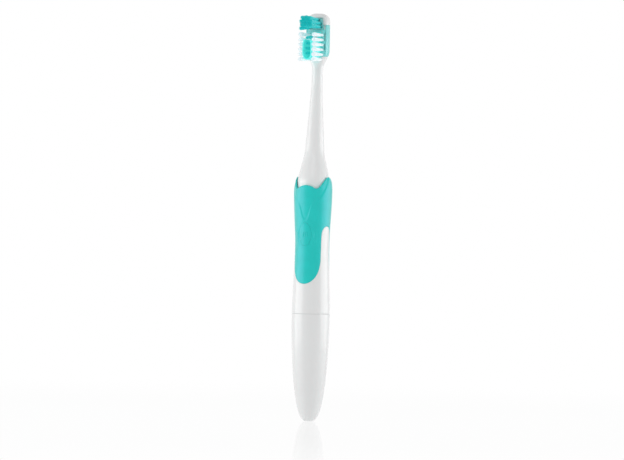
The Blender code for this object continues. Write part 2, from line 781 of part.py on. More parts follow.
def window_outline(margin):
    """The grip's lower edge from front to back as (angle, height): lobe, window, lobe."""
    turn = margin / WAIST_RADIUS
    floor = SEAM + GRIP_FLOOR_RISE
    straight = floor + LOBE_HEIGHT
    front = FRONT_PAD_HALF_ANGLE + turn
    back = math.pi - BACK_PAD_HALF_ANGLE - turn
    spring = CASING_TOP - WINDOW_TOP_DROP - ARCH_HEIGHT - margin
    points = []
    for step in spread(0, QUARTER_TURN, LOBE_STEPS + 1):
        drop = (LOBE_HEIGHT + margin) * math.cos(step)
        points.append(((front - SIDE_LEAN) * math.sin(step), straight - drop))
    middle, half = (front + back) / 2, (back - front) / 2
    for step in spread(0, math.pi, ARCH_STEPS + 1):
        points.append((middle - half * math.cos(step), spring + ARCH_HEIGHT * math.sin(step)))
    for step in spread(QUARTER_TURN, 0, LOBE_STEPS + 1):
        drop = (LOBE_HEIGHT + margin) * math.cos(step)
        reach = (math.pi - back - SIDE_LEAN) * math.sin(step)
        points.append((math.pi - reach, straight - drop))
    return points


def lip_height(angle):
    """The grip's upper edge: peaks at the sides, a low crest at the front and back."""
    valley = LIP_TOP - LIP_DIP
    side = abs(math.sin(angle))
    climb = max(0, (side - LIP_FLAT_SHARE) / (1 - LIP_FLAT_SHARE)) ** LIP_SIDE_POWER
    crest = math.cos(angle) ** LIP_CREST_POWER
    return valley + LIP_DIP * climb + LIP_BUMP * crest


def grip_stations(margin=0.0):
    """The (angle, height) points of the grip's lower edge, all the way round."""
    half = window_outline(margin)
    return half + [(2 * math.pi - angle, height) for angle, height in half[-2:0:-1]]


def grip_section(station):
    """The grip's section at an angle: on the casing, then upright round the neck."""
    angle, low = station
    ledge = CASING_TOP + GAP
    seated = spread(low, ledge, GRIP_ROWS)
    upright = spread(ledge, lip_height(angle), LIP_ROWS)
    outside = [polar(casing_radius(z), angle, z) for z in seated + upright[1:]]
    inside = [polar(NECK_SKIRT_RADIUS + GAP, angle, z) for z in reversed(upright)]
    inside += [polar(casing_radius(z) - GRIP_THICKNESS, angle, z) for z in reversed(seated)]
    return outside + inside


def recess_section(station):
    """The section that the grip's recess cuts from the casing at an angle."""
    angle, low = station
    heights = spread(low, CASING_TOP, GRIP_ROWS) + [CASING_TOP + OVERRUN]
    outside = [polar(casing_radius(z) + OVERRUN, angle, z) for z in heights]
    inside = [
        polar(casing_radius(min(z, CASING_TOP)) - GRIP_THICKNESS - GAP, angle, z)
        for z in reversed(heights)
    ]
    return outside + inside


def make_casing_and_grip():
    """The handle's casing with the recess for the soft grip, and the grip."""
    bore = SEAM_RADIUS - CASING_WALL
    low = SEAM + GAP
    neck_in = SEAM + COLLAR_RISE + GAP
    outer = [(casing_radius(z), z) for z in spread(CASING_TOP, low, CASING_ROWS)]
    inner = [
        (bore, low),
        (bore, neck_in),
        (CASING_BORE_RADIUS, neck_in + bore - CASING_BORE_RADIUS),
        (CASING_BORE_RADIUS, FLANGE_LOW - GAP),
        (POST_FLANGE_RADIUS + GAP, FLANGE_LOW - GAP),
        (POST_FLANGE_RADIUS + GAP, CASING_TOP),
    ]
    casing = turned(
        "handle_shell", outer + inner, closed=True, segments=SHELL_SEGMENTS,
        colour=WHITE, roughness=0.22,
    )
    cut(casing, hoop("grip_recess", recess_section, grip_stations(GAP)))
    grip = hoop("soft_grip", grip_section, grip_stations(), colour=TEAL, roughness=0.45)
    hole = peg(
        "button_hole", (BUTTON_HALF_WIDTH + GAP, BUTTON_HALF_HEIGHT + GAP),
        -SHOULDER_RADIUS - OVERRUN, -BUTTON_HALF_WIDTH, (0, BUTTON_HEIGHT), LARGE_SEGMENTS,
    )
    cut(casing, hole)
    cut(grip, hole)
    return casing, grip


def make_button():
    """The oval button with its curved flange, and the switch stem behind it."""
    button = peg(
        "power_button", (BUTTON_HALF_WIDTH, BUTTON_HALF_HEIGHT),
        -SHOULDER_RADIUS - OVERRUN, BUTTON_BACK, (0, BUTTON_HEIGHT),
        LARGE_SEGMENTS, colour=TEAL, roughness=0.42,
    )
    reach = 2 * BUTTON_HALF_HEIGHT
    rows = spread(BUTTON_HEIGHT + reach, BUTTON_HEIGHT - reach, BUTTON_STEPS)
    face = [(casing_radius(z) + BUTTON_PROUD, z) for z in rows]
    envelope = turned("button_face", [(0, rows[0])] + face + [(0, rows[-1])])
    combine(button, envelope, "INTERSECT")
    half_turn = (BUTTON_HALF_WIDTH + FLANGE_MARGIN) / FLANGE_RADIUS
    flange_height = BUTTON_HALF_HEIGHT + FLANGE_MARGIN
    rings = []
    for angle in spread(-half_turn, half_turn, BUTTON_STEPS):
        half = flange_height * math.sqrt(1 - FLANGE_ROUND_SHARE * (angle / half_turn) ** 2)
        corners = (
            (FLANGE_RADIUS - FLANGE_THICKNESS, -half),
            (FLANGE_RADIUS, -half),
            (FLANGE_RADIUS, half),
            (FLANGE_RADIUS - FLANGE_THICKNESS, half),
        )
        rings.append([polar(radius, angle, BUTTON_HEIGHT + z) for radius, z in corners])
    combine(button, loft("button_flange", rings), "UNION")
    switch_face = -BOARD_FRONT - GAP - SWITCH_HEIGHT
    stem = peg(
        "switch_stem", (STEM_RADIUS, STEM_RADIUS),
        BUTTON_BACK + GAP, switch_face + STEM_HOLE_DEPTH - BUTTON_TRAVEL - GAP,
        (0, BUTTON_HEIGHT), colour=STEM_BLACK, roughness=0.5,
    )
    return button, stem


def make_board():
    """The circuit board, its components and the chassis behind it."""
    board = box(
        "circuit_board",
        (-BOARD_HALF_WIDTH, -BOARD_FRONT, BOARD_LOW),
        (BOARD_HALF_WIDTH, BOARD_BACK, BOARD_TOP),
        colour=BOARD_GREEN, roughness=0.4,
    )
    face = -BOARD_FRONT - GAP
    half = SWITCH_SIDE / 2
    free_low = BOARD_LOW + BOARD_LAP
    free_length = BUTTON_HEIGHT - half - free_low
    wide, deep, tall = CHIP_SIZE
    chip_middle = free_low + CHIP_SHARE * free_length
    chip = box(
        "driver_chip",
        (-wide / 2, face - deep, chip_middle - tall / 2),
        (wide / 2, face, chip_middle + tall / 2),
        colour=CHIP_BLACK, roughness=0.5,
    )
    capacitor = peg(
        "filter_capacitor", (CAPACITOR_RADIUS, CAPACITOR_RADIUS), face - CAPACITOR_HEIGHT, face,
        (CAPACITOR_SIDE, free_low + CAPACITOR_SHARE * free_length),
        colour=CAPACITOR_BLUE, roughness=0.35,
    )
    switch = box(
        "switch_body",
        (-half, face - SWITCH_HEIGHT, BUTTON_HEIGHT - half),
        (half, face, BUTTON_HEIGHT + half),
        colour=SWITCH_BLACK, roughness=0.45,
    )
    hole = peg(
        "stem_hole", (STEM_RADIUS + GAP, STEM_RADIUS + GAP),
        face - SWITCH_HEIGHT - OVERRUN, face - SWITCH_HEIGHT + STEM_HOLE_DEPTH, (0, BUTTON_HEIGHT),
    )
    cut(switch, hole)
    chassis = ring(
        "chassis", FLANGE_RADIUS - CHASSIS_WALL, FLANGE_RADIUS,
        BOARD_TOP - CHASSIS_LENGTH, BOARD_TOP, colour=CHASSIS_GREY, roughness=0.6,
    )
    reach = FLANGE_RADIUS + OVERRUN
    front = box(
        "chassis_front",
        (-reach, -reach, BOARD_TOP - CHASSIS_LENGTH - OVERRUN),
        (reach, BOARD_BACK + GAP, BOARD_TOP + OVERRUN),
    )
    cut(chassis, front)
    return board, chip, capacitor, switch, chassis


def make_motor():
    """The motor's fixed pieces: can, end bell, magnets, terminals, bush and sleeve."""
    steel = {"colour": STEEL, "roughness": 0.28, "metallic": 1.0}
    inside = MOTOR_RADIUS - MOTOR_WALL
    hole = BUSH_RADIUS + GAP
    profile = [
        (hole, MOTOR_TOP), (MOTOR_RADIUS, MOTOR_TOP), (MOTOR_RADIUS, MOTOR_LOW),
        (inside, MOTOR_LOW), (inside, MOTOR_TOP - MOTOR_WALL), (hole, MOTOR_TOP - MOTOR_WALL),
    ]
    can = turned("motor_can", profile, closed=True, **steel)
    bell = ring(
        "motor_end_bell", SHAFT_RADIUS + GAP, MOTOR_RADIUS, BELL_LOW, BELL_LOW + BELL_THICKNESS,
        colour=BELL_CREAM, roughness=0.5,
    )
    bush_top = MOTOR_TOP - MOTOR_WALL + BUSH_SINK
    bush = ring(
        "front_bushing", SHAFT_RADIUS + GAP, BUSH_RADIUS, bush_top - BUSH_LENGTH, bush_top,
        SMALL_SEGMENTS, colour=BRONZE, roughness=0.35, metallic=1.0,
    )
    sleeve_middle = (MOTOR_LOW + MOTOR_TOP) / 2
    sleeve = ring(
        "motor_sleeve", MOTOR_RADIUS + GAP, FLANGE_RADIUS,
        sleeve_middle - SLEEVE_LENGTH / 2, sleeve_middle + SLEEVE_LENGTH / 2,
        colour=MOTOR_RUBBER, roughness=0.7,
    )
    pieces = [can, bell, bush, sleeve]
    magnet_outer = inside - GAP
    magnet_inner = magnet_outer - MAGNET_THICKNESS
    armature_low, armature_top = armature_span()
    for side, name in ((1, "right"), (-1, "left")):
        rings = []
        for turn in spread(-MAGNET_HALF_ANGLE, MAGNET_HALF_ANGLE, MAGNET_STEPS):
            corners = (
                (magnet_inner, armature_low), (magnet_outer, armature_low),
                (magnet_outer, armature_top), (magnet_inner, armature_top),
            )
            rings.append([polar(r, side * QUARTER_TURN + turn, z) for r, z in corners])
        pieces.append(loft(f"motor_magnet_{name}", rings, colour=FERRITE, roughness=0.5))
        pieces.append(make_terminal(f"motor_terminal_{name}", side, bell))
    return pieces


def terminal_place(side):
    """Middle of a motor terminal, which ends inside the end bell."""
    reach = LEAD_REACH - LEAD_RADIUS
    return Vector((side * LEAD_SPREAD, reach, BELL_LOW + BELL_THICKNESS - TERMINAL_SIZE[2] / 2))


def make_terminal(name, side, bell):
    """One brass blade through the end bell, with its slot."""
    middle = terminal_place(side)
    half = Vector(TERMINAL_SIZE) / 2
    room = half + Vector((GAP, GAP, OVERRUN))
    cut(bell, box(name + "_slot", middle - room, middle + room))
    return box(
        name, middle - half, middle + half, colour=BRASS, roughness=0.3, metallic=1.0
    )


def armature_span():
    """Lower and upper end of the armature inside the motor."""
    low = MOTOR_LOW + GAP + COMMUTATOR_LENGTH + GAP
    return low, low + ARMATURE_LENGTH


def make_rotor():
    """What spins: shaft, commutator, armature and the off-centre weight."""
    steel = {"colour": STEEL, "roughness": 0.25, "metallic": 1.0}
    shaft_top = MOTOR_TOP + SHAFT_RISE
    shaft = rod("motor_shaft", SHAFT_RADIUS, BELL_LOW + GAP, shaft_top, **steel)
    bore = SHAFT_RADIUS + GAP
    commutator = ring(
        "commutator", bore, COMMUTATOR_RADIUS,
        MOTOR_LOW + GAP, MOTOR_LOW + GAP + COMMUTATOR_LENGTH, SMALL_SEGMENTS,
        colour=COPPER, roughness=0.3, metallic=1.0,
    )
    low, top = armature_span()
    armature = ring(
        "armature", bore, ARMATURE_RADIUS, low, top, colour=COPPER, roughness=0.35, metallic=1.0
    )
    weight_top = shaft_top - GAP
    weight = ring(
        "eccentric_weight", bore, WEIGHT_RADIUS, weight_top - WEIGHT_LENGTH, weight_top, **steel
    )
    reach = WEIGHT_RADIUS + OVERRUN
    away = box(
        "weight_cut",
        (-reach, -reach, weight_top - WEIGHT_LENGTH - OVERRUN),
        (reach, -WEIGHT_CUT, weight_top + OVERRUN),
    )
    cut(weight, away)
    return shaft, commutator, armature, weight


def make_leads():
    """The two leads from the board's back up to the motor's terminals."""
    leads = []
    for side, name in ((1, "red"), (-1, "black")):
        end = terminal_place(side)
        end.z -= TERMINAL_SIZE[2] / 2 + GAP
        start = Vector((end.x, BOARD_BACK + GAP, BOARD_TOP - LEAD_DROP))
        first = start + Vector((0, 2 * (end.y - start.y), 0))
        points = []
        for share in spread(0, 1, LEAD_POINTS):
            here = start.lerp(first, share).lerp(first.lerp(end, share), share)
            points.append(here)
        leads.append(
            make_tube(
                f"motor_lead_{name}", points, LEAD_RADIUS, 1,
                colour=LEAD_COLOURS[name], roughness=0.5,
            )
        )
    return leads


def post_radius(height):
    """Outer radius of the tapered drive post."""
    share = max(0, (height - CASING_TOP) / POST_HEIGHT)
    return POST_RADIUS + (POST_TOP_RADIUS - POST_RADIUS) * share


def make_post():
    """The drive post that closes the casing and carries the neck, with its seal."""
    seal = CASING_TOP + NECK_SEAL_RISE
    half = NECK_SEAL_HALF_HEIGHT + GAP
    depth = post_radius(seal) - NECK_SEAL_DEPTH
    profile = [
        (0, POST_TOP),
        (POST_TOP_RADIUS - POST_CHAMFER, POST_TOP),
        (post_radius(POST_TOP - POST_CHAMFER), POST_TOP - POST_CHAMFER),
        (post_radius(seal + half), seal + half),
        (depth, seal + half),
        (depth, seal - half),
        (post_radius(seal - half), seal - half),
        (POST_RADIUS, CASING_TOP),
        (POST_FLANGE_RADIUS, CASING_TOP),
        (POST_FLANGE_RADIUS, FLANGE_LOW),
        (POST_BORE_RADIUS, FLANGE_LOW),
        (POST_BORE_RADIUS, POST_TOP - POST_ROOF),
        (0, POST_TOP - POST_ROOF),
    ]
    post = turned("drive_post", profile, colour=WHITE, roughness=0.4)
    neck_seal = ring(
        "neck_seal", depth + GAP, post_radius(seal + half),
        seal - NECK_SEAL_HALF_HEIGHT, seal + NECK_SEAL_HALF_HEIGHT, colour=RUBBER, roughness=0.6,
    )
    return post, neck_seal


def neck_radius(height):
    """Radius of the neck: a straight skirt, then a smooth taper to the throat."""
    foot = NECK_LOW + SKIRT_RISE
    throat = HEAD_LOW - THROAT_DROP
    taper = 1 - min(1, max(0, (height - foot) / (throat - foot)))
    skirt = 1 - ease(min(1, max(0, (height - foot) / SKIRT_BLEND)))
    return (
        THROAT_RADIUS
        + (NECK_FOOT_RADIUS - THROAT_RADIUS) * taper**NECK_TAPER_POWER
        + (NECK_SKIRT_RADIUS - NECK_FOOT_RADIUS) * skirt
    )


def lean(height):
    """How far back the neck's middle lies at a height."""
    foot = NECK_LOW + SKIRT_RISE
    return NECK_LEAN * min(1, max(0, (height - foot) / (HEAD_LOW - HEAD_FLARE - foot)))


def section_sizes(height):
    """Half width, front, back and corner radius of neck or head at a height."""
    flare = ease(min(1, max(0, (height - HEAD_LOW + HEAD_FLARE) / HEAD_FLARE)))
    radius = neck_radius(height)
    half = radius + (HEAD_HALF_WIDTH - radius) * flare
    thick = radius + (HEAD_HALF_THICKNESS - radius) * flare
    corner = radius + (HEAD_EDGE - radius) * flare
    over = max(0, height - (HEAD_TOP - HEAD_CROWN))
    if over > 0:
        drop = HEAD_CROWN - math.sqrt(max(0, HEAD_CROWN**2 - over**2))
        half -= drop
        thick -= drop * CROWN_THIN_SHARE
        corner = min(corner, thick)
    return half, lean(height) - thick, lean(height) + thick, min(corner, thick, half)


def section_ring(height, half, front, back, corner):
    """A rounded rectangle of points round a level section."""
    points = []
    centres = (
        (half - corner, front + corner, -QUARTER_TURN),
        (half - corner, back - corner, 0),
        (corner - half, back - corner, QUARTER_TURN),
        (corner - half, front + corner, 2 * QUARTER_TURN),
    )
    for x, y, start in centres:
        for angle in spread(start, start + QUARTER_TURN, CORNER_POINTS + 1)[:-1]:
            points.append((x + corner * math.cos(angle), y + corner * math.sin(angle), height))
    return points


def head_rings(heights, inset=0.0, front_inset=0.0):
    """Section rings at heights, drawn in at the sides and back, and at the front."""
    rings = []
    for height in heights:
        half, near, far, corner = section_sizes(height)
        rings.append(
            section_ring(
                height, half - inset, near + front_inset, far - inset, max(corner - inset, EMBED)
            )
        )
    return rings


def make_neck():
    """The neck and the core of the head in one moulding, hollow over the drive post."""
    flare_low = HEAD_LOW - HEAD_FLARE
    crown_low = HEAD_TOP - HEAD_CROWN
    below = [NECK_LOW] + spread(NECK_LOW + SKIRT_RISE, flare_low, NECK_ROWS)
    below += spread(flare_low, HEAD_LOW, FLARE_ROWS)[1:] + [MOULD_FOOT]
    crown = [
        crown_low + HEAD_CROWN * math.sin(angle)
        for angle in spread(0, QUARTER_TURN, CROWN_ROWS + 1)[1:-1]
    ]
    above = [MOULD_TOP, crown_low] + crown + [HEAD_TOP - GAP / 2]
    rings = head_rings(below)
    rings += head_rings([MOULD_FOOT, MOULD_TOP], CORE_INSET, SLICE_THICKNESS + GAP)
    rings += head_rings(above)
    neck = loft("neck_shell", rings, colour=WHITE, roughness=0.22)
    socket = [
        (0, POST_TOP + 2 * GAP),
        (POST_TOP_RADIUS + GAP - POST_CHAMFER, POST_TOP + 2 * GAP),
        (post_radius(POST_TOP - POST_CHAMFER) + GAP, POST_TOP - POST_CHAMFER + GAP),
        (post_radius(CASING_TOP) + GAP, CASING_TOP - OVERRUN),
        (0, CASING_TOP - OVERRUN),
    ]
    tip_half = TIP_SLICE_HALF_WIDTH + GAP
    tip_pocket = box(
        "tip_pocket",
        (-tip_half, HEAD_FRONT - OVERRUN, SLICE_TOP),
        (tip_half, HEAD_FRONT + TIP_SLICE_THICKNESS + GAP, TIP_SLICE_LOW + TIP_SLICE_LENGTH + GAP),
    )
    cut(neck, turned("neck_socket", socket), tip_pocket)
    mould = loft(
        "head_overmould", head_rings([MOULD_FOOT + GAP, MOULD_TOP - GAP]),
        colour=CLEAR_TEAL, roughness=0.3,
    )
    core = head_rings([MOULD_FOOT, MOULD_TOP], MOULD_WALL, -OVERRUN)
    cut(mould, loft("mould_core", core))
    return neck, mould


def add_strand(bm, root, tip, radius):
    """One three-sided bristle from root to tip."""
    along = tip - root
    turn = along.to_track_quat("Z", "X").to_matrix().to_4x4()
    bmesh.ops.create_cone(
        bm, cap_ends=True, segments=3, radius1=radius, radius2=radius * STRAND_TIP_SHARE,
        depth=along.length, matrix=Matrix.Translation((root + tip) / 2) @ turn,
    )


def add_tuft(bm, place, radius, widening, length, count):
    """A round tuft about (x, z), whose strands spread evenly as a sunflower's seeds do."""
    root_y, tip_y = HEAD_FRONT + SLICE_THICKNESS / 2, HEAD_FRONT - length
    for at in range(count):
        share = math.sqrt((at + 0.5) / count)
        angle = at * GOLDEN_ANGLE
        aim = Vector((share * math.cos(angle), 0, share * math.sin(angle)))
        middle = Vector((place[0], 0, place[1]))
        root = middle + aim * (radius - STRAND_RADIUS) + Vector((0, root_y, 0))
        tip = middle + aim * (radius - STRAND_RADIUS + widening) + Vector((0, tip_y, 0))
        add_strand(bm, root, tip, STRAND_RADIUS)


def slice_box(name, half, low, top, thickness=SLICE_THICKNESS, **look):
    """A slice of the head's face, which holds the roots of bristles."""
    return box(name, (-half, HEAD_FRONT, low), (half, HEAD_FRONT + thickness, top), **look)


def make_outer_bristles():
    """The white tufts along both sides, on a frame-shaped slice of the head."""
    frame = slice_box(
        "outer_bristles", SLICE_HALF_WIDTH, SLICE_FOOT, SLICE_TOP, colour=WHITE, roughness=0.35
    )
    inner = SLICE_HALF_WIDTH - SLICE_FRAME
    window = box(
        "frame_window",
        (-inner, HEAD_FRONT - OVERRUN, SLICE_FOOT + CUP_MARGIN),
        (inner, HEAD_FRONT + SLICE_THICKNESS + OVERRUN, SLICE_TOP - CUP_MARGIN),
    )
    cut(frame, window)
    bm = bmesh.new()
    pitch = SLICE_LENGTH / OUTER_TUFTS
    for row in range(OUTER_TUFTS):
        for side in (-1, 1):
            place = (side * OUTER_TUFT_SIDE, SLICE_FOOT + pitch * (row + 0.5))
            add_tuft(
                bm, place, OUTER_TUFT_RADIUS, OUTER_TUFT_SPREAD,
                OUTER_BRISTLE_LENGTH, OUTER_TUFT_STRANDS,
            )
    return combine(frame, store("outer_strands", mesh_from("outer_strands", bm)), "UNION")


def make_cup():
    """The soft polishing cup: two curved walls on a frame between the white tufts."""
    half = SLICE_HALF_WIDTH - SLICE_FRAME - GAP
    low, top = SLICE_FOOT + CUP_MARGIN + GAP, SLICE_TOP - CUP_MARGIN - GAP
    cup = slice_box("polishing_cup", half, low, top, colour=TEAL, roughness=0.4)
    inner = half - INNER_FRAME
    window = box(
        "cup_window",
        (-inner, HEAD_FRONT - OVERRUN, low + CUP_MARGIN),
        (inner, HEAD_FRONT + SLICE_THICKNESS + OVERRUN, top - CUP_MARGIN),
    )
    cut(cup, window)
    for side, name in ((1, "right"), (-1, "left")):
        edges = []
        for offset in (-CUP_WALL / 2, CUP_WALL / 2):
            edges.append(
                [
                    (side * (CUP_END_SIDE + CUP_BULGE * math.sin(math.pi * share) + offset),
                     low + CUP_MARGIN + (top - low - 2 * CUP_MARGIN) * share)
                    for share in spread(0, 1, CUP_STEPS + 1)
                ]
            )
        outline = edges[0] + edges[1][::-1]
        wall = plate(
            f"cup_wall_{name}", outline, HEAD_FRONT - CUP_HEIGHT, HEAD_FRONT + SLICE_THICKNESS / 2
        )
        combine(cup, wall, "UNION")
    return cup


def make_inner_bristles():
    """The column of teal tufts inside the cup."""
    half = SLICE_HALF_WIDTH - SLICE_FRAME - GAP - INNER_FRAME - GAP
    low = SLICE_FOOT + 2 * (CUP_MARGIN + GAP)
    top = SLICE_TOP - 2 * (CUP_MARGIN + GAP)
    strip_slice = slice_box("inner_bristles", half, low, top, colour=TEAL, roughness=0.4)
    bm = bmesh.new()
    pitch = (top - low) / INNER_TUFTS
    for row in range(INNER_TUFTS):
        add_tuft(
            bm, (0, low + pitch * (row + 0.5)), INNER_TUFT_RADIUS, INNER_TUFT_SPREAD,
            INNER_BRISTLE_LENGTH, INNER_TUFT_STRANDS,
        )
    return combine(strip_slice, store("inner_strands", mesh_from("inner_strands", bm)), "UNION")


def make_tip_bristles():
    """The long teal block of bristles at the head's tip."""
    top = TIP_SLICE_LOW + TIP_SLICE_LENGTH
    block = slice_box(
        "tip_bristles", TIP_SLICE_HALF_WIDTH, TIP_SLICE_LOW, top, TIP_SLICE_THICKNESS,
        colour=TEAL, roughness=0.4,
    )
    bm = bmesh.new()
    margin = TIP_MARGIN + TIP_STRAND_RADIUS
    side = TIP_SLICE_HALF_WIDTH - margin
    root_y, tip_y = HEAD_FRONT + TIP_SLICE_THICKNESS / 2, HEAD_FRONT - TIP_BRISTLE_LENGTH
    for z in spread(TIP_SLICE_LOW + margin, top - margin, TIP_ROWS):
        for x in spread(-side, side, TIP_COLUMNS):
            add_strand(bm, Vector((x, root_y, z)), Vector((x, tip_y, z)), TIP_STRAND_RADIUS)
    return combine(block, store("tip_strands", mesh_from("tip_strands", bm)), "UNION")


def main():
    """Builds every piece and hangs it on the body that it moves with."""
    handle = body("handle", (0, 0, SEAM))
    carry(handle, *make_casing_and_grip(), *make_post(), *make_collar(), *make_contacts())
    carry(handle, *make_board(), *make_motor(), *make_leads())
    carry(body("button", (0, -casing_radius(BUTTON_HEIGHT), BUTTON_HEIGHT)), *make_button())
    carry(body("rotor", (0, 0, MOTOR_TOP)), *make_rotor())
    carry(body("battery", (0, 0, BATTERY_LOW)), *make_battery())
    carry(body("cap", (0, 0, SEAM)), make_cap(), *make_cap_contents())
    head = body("head", (0, 0, NECK_LOW))
    carry(head, *make_neck(), make_outer_bristles(), make_inner_bristles())
    carry(head, make_tip_bristles(), make_cup())
    weld_cuts(PARTS.objects)


clear_scene()
PARTS = new_collection("electric_toothbrush")
CUTTERS = new_collection("cutters")
main()
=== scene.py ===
"""Dressed scene of a slim battery toothbrush, standing on its tip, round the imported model.

Shapes are worked out in millimetres in the model's own frame, and put() brings them to metres. The
tip's flat is at the origin, +Z runs up the handle, and the bristles and the button face -Y. Angles
about the axis are measured from the front towards +X.
"""

import logging
import math
import random
from collections.abc import Callable, Iterable, Mapping, Sequence
from dataclasses import dataclass
from enum import Enum
from functools import cached_property
from typing import Any

import bmesh
import bpy
from bmesh.types import BMEdge, BMesh, BMVert
from mathutils import Matrix, Vector


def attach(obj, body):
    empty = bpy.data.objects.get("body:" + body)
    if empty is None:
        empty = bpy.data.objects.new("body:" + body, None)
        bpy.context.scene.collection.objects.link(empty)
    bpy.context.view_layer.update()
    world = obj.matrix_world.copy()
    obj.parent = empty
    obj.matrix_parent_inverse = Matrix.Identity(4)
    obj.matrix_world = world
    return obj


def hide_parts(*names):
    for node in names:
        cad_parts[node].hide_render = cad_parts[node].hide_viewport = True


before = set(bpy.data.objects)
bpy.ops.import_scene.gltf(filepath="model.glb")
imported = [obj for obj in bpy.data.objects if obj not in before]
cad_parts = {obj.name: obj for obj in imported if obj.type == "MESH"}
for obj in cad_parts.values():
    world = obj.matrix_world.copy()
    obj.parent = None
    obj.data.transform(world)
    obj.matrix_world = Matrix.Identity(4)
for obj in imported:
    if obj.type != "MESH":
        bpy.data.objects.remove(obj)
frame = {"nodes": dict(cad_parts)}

LOG = logging.getLogger("toothbrush")
MM = 0.001
TURN = 2 * math.pi
QUARTER = math.pi / 2
WELD = 0.004
SHARP = math.radians(40)
GOLDEN = math.pi * (3 - math.sqrt(5))
WHITE = (1, 1, 1, 1)

Colour = tuple[float, float, float]
Point = tuple[float, float]
Line = tuple[Point, ...]


def srgb(code: str) -> Colour:
    """Linear colour of a hexadecimal screen colour."""
    parts = [int(code[at:at + 2], 16) / 255 for at in (1, 3, 5)]
    return tuple(p / 12.92 if p <= 0.04045 else ((p + 0.055) / 1.055) ** 2.4 for p in parts)


def clamp(value: float, low: float = 0.0, high: float = 1.0) -> float:
    """The value, held between two limits."""
    return min(high, max(low, value))


def lerp(start: float, end: float, share: float) -> float:
    """The value at a share of the way from start to end."""
    return start + (end - start) * share


def ease(share: float) -> float:
    """A smooth rise from 0 to 1, level at both ends."""
    return (1 - math.cos(math.pi * clamp(share))) / 2


def spread(low: float, high: float, count: int) -> list[float]:
    """Evenly spaced values, both ends included."""
    return [lerp(low, high, at / (count - 1)) for at in range(count)]


def polar(radius: float, angle: float, height: float) -> Vector:
    """A point by its angle about the axis, measured from the front towards +X."""
    return Vector((radius * math.sin(angle), -radius * math.cos(angle), height))


def level(points: Iterable[Point], height: float) -> list[Vector]:
    """A ring of (x, y) points at a height."""
    return [Vector((x, y, height)) for x, y in points]


def facing(points: Iterable[Point], place: float) -> list[Vector]:
    """A ring of (x, z) points at a place along Y."""
    return [Vector((x, place, z)) for x, z in points]


def flipped(points: Sequence[Point]) -> list[Point]:
    """The points on the other side, in backward order, so that a loop goes on round."""
    return [(-x, y) for x, y in points[::-1]]


def arc(middle: Point, radius: float, start: float, end: float, count: int) -> list[Point]:
    """Points of an arc about a middle, between two angles."""
    turns = spread(start, end, count)
    return [(middle[0] + radius * math.cos(t), middle[1] + radius * math.sin(t)) for t in turns]


def ellipse(wide: float, tall: float, count: int, middle: Point = (0.0, 0.0)) -> list[Point]:
    """Points round an ellipse with these half sizes."""
    turns = spread(0, TURN, count + 1)[:-1]
    return [(middle[0] + wide * math.cos(t), middle[1] + tall * math.sin(t)) for t in turns]


def rounding(radius: float, count: int) -> list[Point]:
    """How far a rounded edge has come on its way, and how far it is still drawn in, by steps."""
    turns = spread(0, QUARTER, count)
    return [(radius * (1 - math.cos(turn)), radius * (1 - math.sin(turn))) for turn in turns]


def straight(keys: Sequence[Point], place: float) -> float:
    """The value at a place on a line of straight pieces.

    Args:
        keys: (place, value) pairs in rising order of place.
        place: to read.

    Returns:
        The line's value there.
    """
    for (low, first), (high, last) in zip(keys, keys[1:]):
        if place <= high:
            return lerp(first, last, (place - low) / (high - low))
    return keys[-1][1]


def through(keys: Sequence[Point], value: float) -> float:
    """A smooth line through keys, level beyond the first and the last.

    Args:
        keys: (place, value) pairs in rising order of place.
        value: the place to read.

    Returns:
        The line's value there.
    """
    if value <= keys[0][0]:
        return keys[0][1]
    for at, ((low, first), (high, last)) in enumerate(zip(keys, keys[1:])):
        if value <= high:
            span, share = high - low, (value - low) / (high - low)
            before, after = keys[max(at - 1, 0)], keys[min(at + 2, len(keys) - 1)]
            slope_in = (last - before[1]) / (high - before[0]) * span
            slope_out = (after[1] - first) / (after[0] - low) * span
            square, cube = share**2, share**3
            return (
                (2 * cube - 3 * square + 1) * first + (cube - 2 * square + share) * slope_in
                + (3 * square - 2 * cube) * last + (cube - square) * slope_out
            )
    return keys[-1][1]


def rounded(points: Sequence[Point], radius: float, steps: int = 4) -> list[Point]:
    """Rounds the inner corners of an open line of points.

    Args:
        points: the line's corners.
        radius: of each rounding, less where the neighbours are near.
        steps: pieces that each rounding has.

    Returns:
        The line with each corner replaced by an arc.
    """
    made = [tuple(points[0])]
    for before, corner, after in zip(points, points[1:], points[2:]):
        here = Vector(corner)
        back, on = Vector(before) - here, Vector(after) - here
        bend = math.pi - back.angle(on, math.pi)
        if bend < math.radians(8):
            made.append(tuple(corner))
            continue
        reach = min(radius * math.tan(bend / 2), back.length * 0.45, on.length * 0.45)
        start, end = here + back.normalized() * reach, here + on.normalized() * reach
        for share in spread(0, 1, steps + 1):
            made.append(tuple(start.lerp(here, share).lerp(here.lerp(end, share), share)))
    return [*made, tuple(points[-1])]


